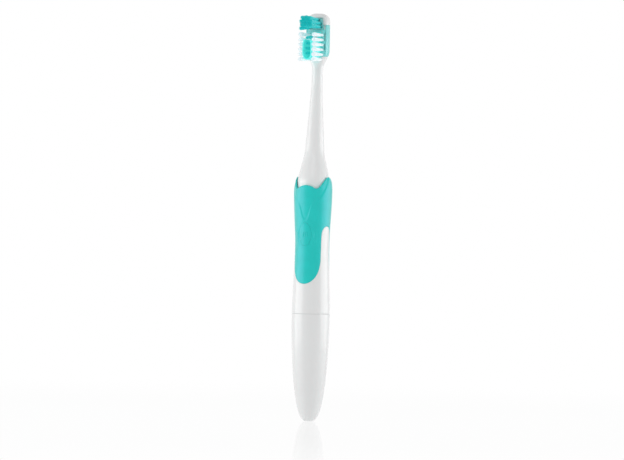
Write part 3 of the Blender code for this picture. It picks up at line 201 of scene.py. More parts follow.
class Value:
    """A number on a shader's socket, on which arithmetic adds Math nodes."""

    def __init__(self, graph: "Graph", socket: bpy.types.NodeSocket) -> None:
        """Keeps the socket and the graph that it is in."""
        self.graph, self.socket = graph, socket

    def __add__(self, other: "Value | float") -> "Value":
        """Sum."""
        return self.graph.math("ADD", self, other)

    def __sub__(self, other: "Value | float") -> "Value":
        """Difference."""
        return self.graph.math("SUBTRACT", self, other)

    def __rsub__(self, other: float) -> "Value":
        """Difference from a plain number."""
        return self.graph.math("SUBTRACT", other, self)

    def __mul__(self, other: "Value | float") -> "Value":
        """Product."""
        return self.graph.math("MULTIPLY", self, other)

    def __truediv__(self, other: "Value | float") -> "Value":
        """Quotient."""
        return self.graph.math("DIVIDE", self, other)

    def rise(self, low: float, high: float) -> "Value":
        """A smooth step.

        Args:
            low: where it starts from 0.
            high: where it reaches 1.

        Returns:
            The step's value.
        """
        sockets = {"Value": self, "From Min": low, "From Max": high}
        made = self.graph.node("ShaderNodeMapRange", sockets, interpolation_type="SMOOTHSTEP")
        return Value(self.graph, made.outputs["Result"])


class Graph:
    """The shader nodes of a material or of the world."""

    def __init__(self, owner: bpy.types.Material | bpy.types.World) -> None:
        """Turns the owner's nodes on."""
        owner.use_nodes = True
        self.tree = owner.node_tree

    @cached_property
    def place(self) -> bpy.types.NodeSocket:
        """The place on the surface, in the object's frame."""
        return self.node("ShaderNodeTexCoord").outputs["Object"]

    def node(
        self, kind: str, sockets: Mapping[str | int, Any] | None = None, **settings: Any
    ) -> bpy.types.Node:
        """Adds one node.

        Args:
            kind: the node's type.
            sockets: values or links of its inputs.
            settings: what is set on the node itself.

        Returns:
            The new node.
        """
        made = self.tree.nodes.new(kind)
        for key, value in settings.items():
            setattr(made, key, value)
        self.fill(made, sockets or {})
        return made

    def fill(self, node: bpy.types.Node, sockets: Mapping[str | int, Any]) -> None:
        """Sets inputs of a node to plain values, or links values or sockets to them.

        Args:
            node: whose inputs are set.
            sockets: a plain value, Value or socket for each input.
        """
        for key, value in sockets.items():
            if isinstance(value, Value):
                value = value.socket
            if isinstance(value, bpy.types.NodeSocket):
                self.tree.links.new(value, node.inputs[key])
            else:
                node.inputs[key].default_value = value

    def math(self, operation: str, first: Any, second: Any = 0.0) -> Value:
        """One Math node on two numbers or values."""
        made = self.node("ShaderNodeMath", {0: first, 1: second}, operation=operation)
        return Value(self, made.outputs[0])

    def noise(self, size: float, detail: float = 2.0, stretch: Colour = (1, 1, 1)) -> Value:
        """Soft noise whose grains are about as large as the size.

        Args:
            size: of a grain, in millimetres.
            detail: how many finer layers it has.
            stretch: scale of the place along X, Y and Z.

        Returns:
            The noise, from 0 to 1.
        """
        place = self.node("ShaderNodeMapping", {"Vector": self.place, "Scale": stretch})
        sockets = {"Vector": place.outputs[0], "Scale": 1 / (size * MM), "Detail": detail}
        return Value(self, self.node("ShaderNodeTexNoise", sockets).outputs["Fac"])

    def axis(self, name: str) -> Value:
        """One coordinate of the surface, X, Y or Z, in metres."""
        return Value(self, self.node("ShaderNodeSeparateXYZ", {0: self.place}).outputs[name])

    def blend(self, factor: Value, first: Any, second: Any) -> bpy.types.NodeSocket:
        """Mixes two colours by a factor."""
        sockets = {0: factor, 6: first, 7: second}
        return self.node("ShaderNodeMix", sockets, data_type="RGBA").outputs[2]

    def relief(self, height: Value, depth: float) -> bpy.types.NodeSocket:
        """A normal from a height between 0 and 1 that stands for a depth in millimetres."""
        sockets = {"Height": height, "Distance": depth * MM, "Strength": 1.0}
        return self.node("ShaderNodeBump", sockets).outputs[0]

    def seen(self, *kinds: str) -> Value:
        """A factor that is 1 for rays of the kinds, and 0 for the light on things.

        Args:
            kinds: outputs of the Light Path node.

        Returns:
            The factor.
        """
        path = self.node("ShaderNodeLightPath")
        total = Value(self, path.outputs[kinds[0]])
        for kind in kinds[1:]:
            total = self.math("MAXIMUM", total, path.outputs[kind])
        return total

    def show(
        self, output: str, factor: Value, first: bpy.types.Node, second: bpy.types.Node
    ) -> None:
        """Sends a mix of two shaders to the output.

        Args:
            output: name of the output node.
            factor: 0 for the first shader, 1 for the second.
            first: shader.
            second: shader.
        """
        shaders = {1: first.outputs[0], 2: second.outputs[0]}
        mix = self.node("ShaderNodeMixShader", {0: factor, **shaders})
        self.fill(self.tree.nodes[output], {"Surface": mix.outputs[0]})


class Pattern(Enum):
    """What the surface of a finish shows close to."""

    GLOSS = "polished moulding"
    SPARK = "spark-eroded moulding"
    CLEAR = "clear moulding"
    NYLON = "filament"
    DRAWN = "drawn or plated metal"
    WOUND = "wound wire"
    MASKED = "printed circuit board"
    BANDED = "printed film"


@dataclass(frozen=True)
class Finish:
    """One finish, from which a procedural material is made, with grain and depth in mm."""

    name: str
    colour: str
    roughness: float
    pattern: Pattern = Pattern.GLOSS
    metallic: float = 0.0
    coat: float = 0.0
    clear: float = 0.0
    soft: float = 0.0
    grain: float = 0.5
    depth: float = 0.0
    shift: float = 0.04
    second: str = ""
    tint: Colour = (1.0, 1.0, 1.0)
    sheen: float = 0.0
    # glow: emission in the base colour, painted light that stands in for light passed through thin
    # filaments and translucent mouldings
    glow: float = 0.0
    gleam: float = 0.5
    # root: a darker colour near the plate, painted shade between the strands at their roots,
    # fading out over a span along Y
    root: str = ""
    root_shade_span: Point = (-4.2 * MM, -0.8 * MM)
    band: Point = (47.0 * MM, 47.2 * MM)
    track: float = 1.3 * MM

    def material(self) -> bpy.types.Material:
        """The finish's material, made at its first use.

        Returns:
            A material with the finish's name and an ending, apart from the slots' own ones.
        """
        name = f"{self.name}_finish"
        if name in bpy.data.materials:
            return bpy.data.materials[name]
        material = bpy.data.materials.new(name)
        graph = Graph(material)
        colour = srgb(self.colour)
        material.diffuse_color = (*colour, 1.0)
        mottle, tone, height = self.pattern_of(graph)
        dark = tuple(part * (1 - self.shift) for part in colour)
        light = tuple(min(1.0, part * (1 + self.shift)) for part in colour)
        base = graph.blend(mottle, (*dark, 1.0), (*light, 1.0))
        if self.second:
            base = graph.blend(tone, base, (*srgb(self.second), 1.0))
        if self.root:
            # painted shade: the root colour darkens the strands near the plate, where shade falls
            # between them
            painted_root_shade = graph.axis("Y").rise(*self.root_shade_span)
            base = graph.blend(painted_root_shade, base, (*srgb(self.root), 1.0))
        graph.fill(graph.tree.nodes["Principled BSDF"], {
            # the emission is painted light: the base colour glows to stand in for light passed
            # through the translucent material
            "Base Color": base, "Emission Color": base, "Emission Strength": self.glow,
            "Roughness": mottle * (0.12 * self.roughness) + 0.94 * self.roughness,
            "Normal": graph.relief(height, self.depth), "Metallic": self.metallic,
            "Coat Weight": self.coat, "Coat Roughness": 0.08,
            "Specular IOR Level": self.gleam, "Specular Tint": (*self.tint, 1.0),
            "Sheen Weight": self.sheen, "Sheen Roughness": 0.4,
            "Sheen Tint": (0.85, 0.93, 1.0, 1.0), "Transmission Weight": self.clear,
            "Subsurface Weight": self.soft, "Subsurface Scale": 1.0,
            "Subsurface Radius": (0.6 * MM, 0.9 * MM, 0.9 * MM),
        })
        return material

    def pattern_of(self, graph: Graph) -> tuple[Value, Value, Value]:
        """Adds the pattern's nodes.

        Args:
            graph: of the material.

        Returns:
            The mottling between the darker and the lighter shade, the second colour's share and
            the relief's height.
        """
        mottle = graph.noise(12 * self.grain, 3.0)
        tone = mottle.rise(0.55, 0.75)
        if self.pattern is Pattern.GLOSS:
            height = graph.noise(2.5, 1.0) * 0.7 + graph.noise(self.grain) * 0.3
        elif self.pattern is Pattern.SPARK:
            height = graph.noise(self.grain, 4.0) * 0.75 + graph.noise(5 * self.grain) * 0.25
            tone = graph.noise(6, 1.0).rise(0.35, 0.7)
        elif self.pattern is Pattern.DRAWN:
            height = mottle = graph.noise(self.grain, 3.0, (1, 1, 0.06))
        elif self.pattern is Pattern.NYLON:
            height = graph.noise(self.grain)
            tone = graph.noise(self.grain, 1.0).rise(0.45, 0.8)
        elif self.pattern is Pattern.WOUND:
            turns = graph.math("FRACT", graph.axis("Z") / (self.grain * MM))
            height = turns * (1 - turns) * 4
            # painted shade: the second colour darkens the grooves between the turns
            tone = 1 - height
        elif self.pattern is Pattern.MASKED:
            tracks = graph.math("FRACT", graph.axis("X") / self.track + mottle * 0.8)
            height = tone = tracks.rise(0.7, 0.78) * (1 - tracks.rise(0.9, 0.97))
        elif self.pattern is Pattern.BANDED:
            height, tone = mottle, graph.axis("Z").rise(*self.band)
        else:
            height = graph.noise(self.grain)
        return mottle, tone, height


CASING_WHITE = Finish(
    "casing_white", "#f2f3f3", 0.22, coat=0.3, depth=0.006, shift=0.012, soft=0.05
)
INNER_WHITE = Finish("inner_white", "#eef0f0", 0.45, Pattern.SPARK, depth=0.01)
GRIP_TEAL = Finish(
    "grip_teal", "#02d4c8", 0.36, Pattern.SPARK, grain=0.16, depth=0.012, second="#03d8cc",
    tint=(0.5, 0.45, 1.0), sheen=0.6, gleam=0.85,
)
# the cup's glow is painted light that lifts its shaded inside, standing in for light passed
# through the soft plastic
CUP_TEAL = Finish("cup_teal", "#62e4de", 0.3, Pattern.CLEAR, soft=0.5, depth=0.01, glow=0.28)
# the moulding's glow is painted light, standing in for light passed through the clear plastic
MOULD_TEAL = Finish(
    "mould_teal", "#8ae0df", 0.16, Pattern.CLEAR, clear=0.05, soft=0.3, depth=0.006, glow=0.08
)
# the white filaments' glow is painted light that fills the shade between strands, standing in for
# light scattered through the nylon
BRISTLE_WHITE = Finish(
    "bristle_white", "#f2f9fc", 0.3, Pattern.NYLON, soft=0.5, grain=0.4, depth=0.004,
    second="#e0f0f5", glow=0.15,
)
# the teal filaments' glow is painted light through the nylon, and the dark root colour is painted
# shade between the strands near the plate
BRISTLE_TEAL = Finish(
    "bristle_teal", "#20c4c6", 0.28, Pattern.NYLON, soft=0.5, depth=0.004, second="#4ad8d4",
    glow=0.2, root="#0b7377",
)
SEAL_BLACK = Finish("seal_black", "#26282a", 0.55, Pattern.SPARK, depth=0.01)
CHASSIS_GREY = Finish("chassis_grey", "#b9bec1", 0.5, Pattern.SPARK, depth=0.012)
BOARD_GREEN = Finish(
    "board_green", "#1d6b3a", 0.35, Pattern.MASKED, coat=0.4, depth=0.03, second="#2f8a4c"
)
MOULDED_BLACK = Finish("moulded_black", "#25272a", 0.42, Pattern.SPARK, depth=0.01)
LEAD_RED = Finish("lead_red", "#b5202a", 0.4, depth=0.006)
CAPACITOR_BLUE = Finish("capacitor_blue", "#27306b", 0.3, depth=0.004)
BELL_CREAM = Finish("bell_cream", "#e0dcc9", 0.45, Pattern.SPARK, depth=0.01)
MAGNET_GREY = Finish("magnet_grey", "#4a4c50", 0.5, Pattern.SPARK, depth=0.02)
CONTACT_NICKEL = Finish(
    "contact_nickel", "#d0cdc6", 0.24, Pattern.DRAWN, metallic=1.0, grain=0.2, depth=0.004
)
MOTOR_STEEL = Finish(
    "motor_steel", "#c3c5c8", 0.28, Pattern.DRAWN, metallic=1.0, grain=0.25, depth=0.004
)
TERMINAL_BRASS = Finish(
    "terminal_brass", "#d3b063", 0.28, Pattern.DRAWN, metallic=1.0, grain=0.2, depth=0.004
)
# second: a darker copper painted into the grooves between turns, as shade
WINDING_COPPER = Finish(
    "winding_copper", "#c9784a", 0.3, Pattern.WOUND, metallic=1.0, grain=0.32, depth=0.08,
    second="#7a3c1f",
)
FILM_DARK = Finish(
    "film_dark", "#2a2d31", 0.3, Pattern.BANDED, coat=0.5, depth=0.003, second="#8d9297"
)


def meshed(name: str, bm: BMesh) -> bpy.types.Mesh:
    """Makes a mesh.

    Args:
        name: of the mesh.
        bm: its shape, freed.

    Returns:
        The new mesh.
    """
    mesh = bpy.data.meshes.new(name)
    bm.to_mesh(mesh)
    bm.free()
    return mesh


def placed(name: str, data: bpy.types.ID) -> bpy.types.Object:
    """Makes an object of the scene.

    Args:
        name: of the object.
        data: its mesh, camera or light.

    Returns:
        The new object.
    """
    obj = bpy.data.objects.new(name, data)
    bpy.context.scene.collection.objects.link(obj)
    return obj


def put(
    name: str, bm: BMesh, finish: Finish, body: str, node: str = "", faces_out: bool = True
) -> None:
    """Makes a finished piece from a shape in millimetres, which it frees.

    Args:
        name: of the piece.
        bm: its closed shape, in the model's frame.
        finish: of its surface.
        body: that it moves with.
        node: CAD node that it stands for, if not of its own name.
        faces_out: whether the normals are worked out again.
    """
    if faces_out:
        bmesh.ops.recalc_face_normals(bm, faces=bm.faces)
    bmesh.ops.scale(bm, vec=(MM, MM, MM), verts=bm.verts)
    mesh = meshed(name, bm)
    mesh.shade_smooth()
    mesh.set_sharp_from_angle(angle=SHARP)
    mesh.materials.append(finish.material())
    obj = placed(name, mesh)
    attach(obj, body)
    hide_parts(node or name)
    LOG.info("%s: %d faces on %s", name, len(mesh.polygons), body)


def turned(profile: Sequence[Point], steps: int = 96, closed: bool = False) -> BMesh:
    """Spins a line of (radius, height) points about the axis.

    Args:
        profile: the line, which ends on the axis unless it is closed.
        steps: faces in a full turn.
        closed: whether the last point joins the first.

    Returns:
        The closed shape.
    """
    bm = bmesh.new()
    verts = [bm.verts.new((radius, 0, height)) for radius, height in profile]
    edges = [bm.edges.new(pair) for pair in zip(verts, verts[1:])]
    if closed:
        edges.append(bm.edges.new((verts[-1], verts[0])))
    bmesh.ops.spin(
        bm, geom=verts + edges, cent=(0, 0, 0), axis=(0, 0, 1), dvec=(0, 0, 0),
        angle=TURN, steps=steps, use_merge=True, use_duplicate=False,
    )
    bmesh.ops.remove_doubles(bm, verts=bm.verts, dist=WELD)
    bmesh.ops.recalc_face_normals(bm, faces=bm.faces)
    return bm


def block(low: Sequence[float], high: Sequence[float], round_off: float = 0.0) -> BMesh:
    """A block between two corners.

    Args:
        low: its lowest corner.
        high: its highest corner.
        round_off: radius of its edges.

    Returns:
        The closed shape.
    """
    low, high = Vector(low), Vector(high)
    bm = bmesh.new()
    bmesh.ops.create_cube(bm, size=1)
    bmesh.ops.scale(bm, vec=high - low, verts=bm.verts)
    bmesh.ops.translate(bm, vec=(low + high) / 2, verts=bm.verts)
    if round_off:
        bmesh.ops.bevel(
            bm, geom=bm.edges, offset=round_off, offset_type="OFFSET", segments=4,
            profile=0.5, material=-1, affect="EDGES",
        )
    return bm


def carve(target: BMesh, *tools: BMesh, operation: str = "DIFFERENCE") -> BMesh:
    """Cuts or joins shapes with a target.

    Args:
        target: the shape that is changed, freed.
        tools: what is cut away or joined, freed.
        operation: DIFFERENCE, UNION or INTERSECT.

    Returns:
        The resulting shape.
    """
    scratch = [placed("scratch", meshed("scratch", bm)) for bm in (target, *tools)]
    for tool in scratch[1:]:
        step = scratch[0].modifiers.new("carve", "BOOLEAN")
        step.operation, step.object = operation, tool
    made = bmesh.new()
    made.from_object(scratch[0], bpy.context.evaluated_depsgraph_get())
    for obj in scratch:
        mesh = obj.data
        bpy.data.objects.remove(obj)
        bpy.data.meshes.remove(mesh)
    bmesh.ops.dissolve_degenerate(made, dist=WELD / 8, edges=made.edges)
    return made


class Skin:
    """A closed skin that grows loop by loop from one ring of vertices."""

    def __init__(self, points: Sequence[Vector]) -> None:
        """Starts the skin with its first ring.

        Args:
            points: of the ring.
        """
        self.bm = bmesh.new()
        made = bmesh.ops.create_circle(self.bm, cap_ends=False, radius=1.0, segments=len(points))
        self.ring: list[BMVert] = made["verts"]
        self.first = list(self.ring)
        self.place(points)

    def place(self, points: Sequence[Vector]) -> None:
        """Moves the open ring to the points."""
        for vert, point in zip(self.ring, points):
            vert.co = point

    def edges(self, ring: Sequence[BMVert]) -> list[BMEdge]:
        """The edges round a ring."""
        return [self.bm.edges.get(pair) for pair in zip(ring, [*ring[1:], ring[0]])]

    def grow(self, points: Sequence[Vector]) -> None:
        """Extrudes the open ring to new points.

        Args:
            points: as many as the ring has.
        """
        made = bmesh.ops.extrude_edge_only(self.bm, edges=self.edges(self.ring))["geom"]
        fresh = {item for item in made if isinstance(item, BMVert)}
        others = [[edge.other_vert(vert) for edge in vert.link_edges] for vert in self.ring]
        self.ring = [next(vert for vert in near if vert in fresh) for near in others]
        self.place(points)

    def close(self, hoop: bool) -> BMesh:
        """Closes both ends with a face, or joins them to a hoop.

        Args:
            hoop: whether the last ring joins the first.

        Returns:
            The closed shape.
        """
        if hoop:
            ends = self.edges(self.ring) + self.edges(self.first)
            bmesh.ops.bridge_loops(self.bm, edges=ends)
        else:
            self.bm.faces.new(self.first)
            self.bm.faces.new(self.ring)
        bmesh.ops.recalc_face_normals(self.bm, faces=self.bm.faces)
        return self.bm


def lofted(rings: Sequence[Sequence[Vector]], hoop: bool = False) -> BMesh:
    """A skin over rings of points.

    Args:
        rings: of equally many points.
        hoop: whether the last ring joins the first, where else both ends are capped.

    Returns:
        The closed shape.
    """
    skin = Skin(rings[0])
    for ring in rings[1:]:
        skin.grow(ring)
    return skin.close(hoop)


def raised(
    outline: Callable[[float], Sequence[Point]], rows: Sequence[Point], front: float = 0.0
) -> BMesh:
    """A solid along Y over an outline, by rows of its depth behind the front and its inset."""
    return lofted([facing(outline(inset), front + depth) for depth, inset in rows])


def tube(points: Sequence[Vector], radius: float, sides: int = 10) -> BMesh:
    """A round wire along points, with domed ends.

    Args:
        points: its middle line.
        radius: of the wire.
        sides: of its section.

    Returns:
        The closed tube.
    """
    rings = []
    last, dome = len(points) - 1, (0.45, 0.8, 1.0)
    normal = (points[1] - points[0]).orthogonal().normalized()
    for at, point in enumerate(points):
        along = (points[min(at + 1, last)] - points[max(at - 1, 0)]).normalized()
        normal = (normal - along * normal.dot(along)).normalized()
        cross = along.cross(normal)
        for share in {0: dome, last: dome[::-1]}.get(at, (1.0,)):
            out = radius * math.sqrt(1 - share**2) * 0.6
            middle = point + along * (out if at else -out)
            section = ellipse(radius * share, radius * share, sides)
            rings.append([middle + normal * x + cross * y for x, y in section])
    return lofted(rings)


def helical(
    start: Point, end: Point, inner: float, outer: float, height: float, steps: int = 24
) -> BMesh:
    """A bar that climbs round the axis, with eased outer edges.

    Args:
        start: (angle, height) of its first end.
        end: (angle, height) of its last end.
        inner: radius of its inner side.
        outer: radius of its outer side.
        height: of the bar's section.
        steps: sections along it.

    Returns:
        The closed bar.
    """
    half, off = height / 2, 0.2
    side = ((inner, half), (outer - off, half), (outer, half - off))
    corners = [(radius, -up) for radius, up in side] + list(side[::-1])
    rings = []
    for share in spread(0, 1, steps):
        turn, middle = lerp(start[0], end[0], share), lerp(start[1], end[1], share)
        rings.append([polar(radius, turn, middle + up) for radius, up in corners])
    return lofted(rings)


@dataclass(frozen=True)
class Station:
    """A column of the casing or the grip, where it meets the grip's lower edge."""

    angle: float
    height: float
    across: float
    up: float
    foot: float
    head: float

    def moved(self, distance: float) -> Point:
        """The (angle, height) at a distance from the edge, into the grip."""
        turn = self.across * distance / FORM.waist_radius
        return self.angle + turn, self.height + self.up * distance

    def under(self, top: float, depth: float, share: float) -> Vector:
        """A point where the casing and the grip lie on each other.

        Args:
            top: height where the column ends.
            depth: below the outer surface.
            share: of the way up.

        Returns:
            The point.
        """
        place = lerp(self.height, top, share)
        turn = lerp(self.angle, self.head, ease(share))
        return polar(FORM.radius(place) - depth, turn, place)

    def mirrored(self) -> "Station":
        """The same column on the other side."""
        ends = TURN - self.foot, TURN - self.head
        return Station(TURN - self.angle, self.height, -self.across, self.up, *ends)


@dataclass(frozen=True)
class HandleForm:
    """Outlines that the cap, the casing and the grip share."""

    seam: float = 59.1
    seam_radius: float = 10.5
    tip_flat: float = 2.4
    waist: float = 96.1
    waist_radius: float = 9.5
    top: float = 127.1
    shoulder_radius: float = 10.6
    lip_rise: float = 8.3
    lip_radius: float = 9.4
    lip_line: Line = (
        (-20, 129.5), (0, 130.1), (12, 129.9), (22, 129.3), (30, 128.55), (36, 128.25),
        (42, 128.7), (50, 129.9), (60, 131.7), (70, 133.3), (80, 134.4), (88, 134.7),
        (96, 134.3), (106, 133.1), (118, 131.0), (130, 129.1), (138, 128.4), (144, 128.25),
        (150, 128.55), (158, 129.3), (168, 129.9), (180, 130.1), (200, 129.5),
    )
    lobe_low: float = 75.7
    lobe_height: float = 14.5
    window_spring: float = 102.5
    arch: float = 5.0
    front_edge: float = math.radians(57)
    back_edge: float = math.radians(102)
    lean: float = math.radians(1.5)
    feet: Line = ((0, 0), (40, 58.0), (53, 61.0), (89, 97.5), (102, 100.5), (150, 180))
    heads: Line = ((0, 0), (40, 50.0), (53, 56.5), (89, 102.5), (102, 109.0), (150, 180))

    def cap_radius(self, height: float) -> float:
        """Radius of the cap's bullet shape.

        Args:
            height: above the tip.

        Returns:
            The radius there.
        """
        start = 1 - math.sqrt(1 - (self.tip_flat / self.seam_radius) ** 3)
        share = start + (1 - start) * clamp(height / self.seam)
        return self.seam_radius * (1 - (1 - share) ** 2) ** (1 / 3)

    def radius(self, height: float) -> float:
        """Radius of casing and grip: in to the waist, out to the shoulder, in to the lip.

        Args:
            height: above the tip.

        Returns:
            The radius there.
        """
        if height > self.top:
            share = (height - self.top) / self.lip_rise
            return self.shoulder_radius - (self.shoulder_radius - self.lip_radius) * share**2
        if height > self.waist:
            share = (height - self.waist) / (self.top - self.waist)
            return lerp(self.waist_radius, self.shoulder_radius, ease(share))
        share = (height - self.seam) / (self.waist - self.seam)
        return lerp(self.seam_radius, self.waist_radius, ease(share))

    def lip(self, angle: float) -> float:
        """Height of the grip's wavy upper edge."""
        return through(self.lip_line, abs(math.degrees(math.remainder(angle, TURN))))

    def lobe(self, reach: float, steps: Sequence[float]) -> list[Point]:
        """The half of a lobe's lower edge that reaches an angle, in steps of a quarter turn."""
        top = self.lobe_low + self.lobe_height
        return [(reach * math.sin(s), top - self.lobe_height * math.cos(s)) for s in steps]

    def side(self, edge: float, lean: float, shares: Sequence[float]) -> list[Point]:
        """The upright side of a window, which leans away from its edge as it goes down."""
        low, high = self.lobe_low + self.lobe_height, self.window_spring
        return [(edge + lean * (1 - share), lerp(low, high, share)) for share in shares]

    def stations(self) -> list[Station]:
        """The columns round the handle, along the grip's lower edge from front to front.

        Returns:
            Stations from the front lobe's middle by the windows and the back lobe.
        """
        middle = (self.front_edge + self.back_edge) / 2
        half = (self.back_edge - self.front_edge) / 2
        rise = spread(0, 1, 14)[1:-1]
        line = self.lobe(self.front_edge - self.lean, spread(0, QUARTER, 41))
        line += self.side(self.front_edge, -self.lean, rise)
        for step in spread(0, math.pi, 37):
            height = self.window_spring + self.arch * math.sin(step)
            line.append((middle - half * math.cos(step), height))
        line += self.side(self.back_edge, self.lean, rise[::-1])
        back = self.lobe(math.pi - self.back_edge - self.lean, spread(QUARTER, 0, 49))
        line += [(math.pi - angle, height) for angle, height in back]
        made = []
        for at, (angle, height) in enumerate(line):
            before, after = line[max(at - 1, 0)], line[min(at + 1, len(line) - 1)]
            along = Vector(((after[0] - before[0]) * self.waist_radius, after[1] - before[1]))
            along.normalize()
            ends = [math.radians(straight(keys, at)) for keys in (self.feet, self.heads)]
            made.append(Station(angle, height, -along.y, along.x, *ends))
        return made + [station.mirrored() for station in made[-2:0:-1]]


FORM = HandleForm()


@dataclass
class BatteryCap:
    """The screw-off lower third of the handle with its liner."""

    bore: float = 9.0
    wall: float = 1.5
    shoulder: float = 17.2
    thread_foot: float = 50.0
    seat: Line = ((5.55, 17.2), (5.55, 10.9), (3.7, 6.5), (3.7, 5.6), (0, 5.6))
    liner: Line = (
        (6.1, 17.5), (6.65, 17.5), (6.65, 50.3), (5.55, 50.3), (5.55, 17.5), (6.1, 17.5)
    )
    strip: Line = ((3.0, 5.75), (3.6, 5.75), (6.25, 10.75), (6.25, 18.0), (5.0, 18.0), (5.0, 11.0))
    strip_half: float = 1.5
    liner_edge: float = 0.2
    liner_gap: Line = ((5.3, 15.0), (6.25, 53.0))
    seam_gap: float = 0.03
    edge: float = 0.1
    foot_edge: float = 0.25
    groove_past: float = 2.0
    groove_inner: float = 8.6
    groove_outer: float = 9.62
    groove_height: float = 2.1
    lug_inner: float = 8.1
    lug_outer: float = 9.3
    lug_height: float = 1.6
    lug_middle: float = 54.1
    lug_half: float = math.radians(9)
    lug_play: float = math.radians(2)
    lead: float = 24.0
    lugs: Point = (math.radians(27), math.radians(207))

    def build(self) -> None:
        """Makes the cap and its liner."""
        top = FORM.seam - self.seam_gap
        heights = [FORM.seam * share**2 for share in spread(0.04, 1, 60)]
        outside = [(FORM.cap_radius(z), z) for z in heights if z < top - self.edge]
        inside = [
            outside[-1], (FORM.cap_radius(top), top), (self.bore, top),
            (self.bore, self.thread_foot),
            (FORM.cap_radius(self.shoulder) - self.wall, self.shoulder), *self.seat,
        ]
        foot = [(0, 0), (FORM.tip_flat - self.foot_edge, 0)]
        line = foot + outside + rounded(inside, self.edge)[1:]
        sides = (-self.strip_half, self.strip_half)
        slot = lofted([[Vector((x, *place)) for place in self.strip] for x in sides])
        cap = carve(turned(line, 128), slot, *map(self.groove, self.lugs))
        put("battery_cap", cap, CASING_WHITE, "cap")
        ring = turned(rounded(self.liner, self.liner_edge)[:-1], 64, closed=True)
        gap = block(*[(x, *place) for x, place in zip(sides, self.liner_gap)])
        put("cap_liner", carve(ring, gap), INNER_WHITE, "cap")

    def groove(self, angle: float) -> BMesh:
        """One helical groove, in which a lug of the collar runs.

        Args:
            angle: of the lug at rest.

        Returns:
            The groove as a solid.
        """
        past = self.lug_half + self.lug_play
        climb = FORM.seam + self.groove_past - self.lug_middle
        start = (angle + past, self.lug_middle - self.lead * past / TURN)
        end = (angle - TURN * climb / self.lead, self.lug_middle + climb)
        return helical(start, end, self.groove_inner, self.groove_outer, self.groove_height)

    def lug(self, angle: float) -> BMesh:
        """One lug of the collar, which runs in the cap's groove.

        Args:
            angle: of the lug at rest.

        Returns:
            The lug as a solid.
        """
        rise = self.lead * self.lug_half / TURN
        start = (angle + self.lug_half, self.lug_middle - rise)
        end = (angle - self.lug_half, self.lug_middle + rise)
        return helical(start, end, self.lug_inner, self.lug_outer, self.lug_height, 9)


BUTTON_MIDDLE = 103.0


def button_hole(half_width: float, half_height: float) -> BMesh:
    """An oval bar that cuts the button's hole in the casing or the grip."""
    section = ellipse(half_width, half_height, 96, (0.0, BUTTON_MIDDLE))
    return lofted([facing(section, place) for place in (-13.0, -3.5)])


@dataclass
class Casing:
    """The white casing, with the recess that holds the grip and the button's hole."""

    seam_gap: float = 0.03
    edge: float = 0.1
    meet: float = 0.03
    recess: float = 1.15
    bore: Line = ((8.2, 127.1), (8.2, 124.1), (7.0, 124.1), (7.0, 68.5), (9.1, 66.4))
    mouth: float = 9.1
    hole: Point = (3.8, 6.7)

    def build(self) -> None:
        """Makes the casing."""
        stations = FORM.stations()
        low = FORM.seam + self.seam_gap
        start = low + self.edge
        rings = [
            [polar(FORM.radius(low + rise) - inset, s.foot, low + rise) for s in stations]
            for rise, inset in rounding(self.edge, 5)
        ]
        for share in spread(0, 1, 31)[1:]:
            rings.append([self.outside(s, start, share) for s in stations])
        for depth, away in [*rounding(self.edge, 4)[1:], (self.recess, 0.0)]:
            rings.append([self.rim(s, self.meet + away, depth) for s in stations])
        for share in spread(0, 1, 9)[1:]:
            rings.append([s.under(FORM.top, self.recess, share) for s in stations])
        bore = [*self.bore, (self.mouth, start), (self.mouth + self.edge, low)]
        for radius, height in rounded(bore, 0.3, 3):
            rings.append([polar(radius, s.head, height) for s in stations])
        casing = carve(lofted(rings, hoop=True), button_hole(*self.hole))
        put("handle_shell", casing, CASING_WHITE, "handle")

    def outside(self, station: Station, start: float, share: float) -> Vector:
        """A point of a column between the seam and the grip's edge.

        Args:
            station: the column.
            start: height of its first point.
            share: of the way up.

        Returns:
            The point.
        """
        angle, height = station.moved(-self.edge - self.meet)
        place = lerp(start, height, share)
        return polar(FORM.radius(place), lerp(station.foot, angle, share), place)

    def rim(self, station: Station, away: float, depth: float) -> Vector:
        """A point of the edge that meets the grip, away from it and below the surface."""
        angle, height = station.moved(-away)
        return polar(FORM.radius(height) - depth, angle, height)


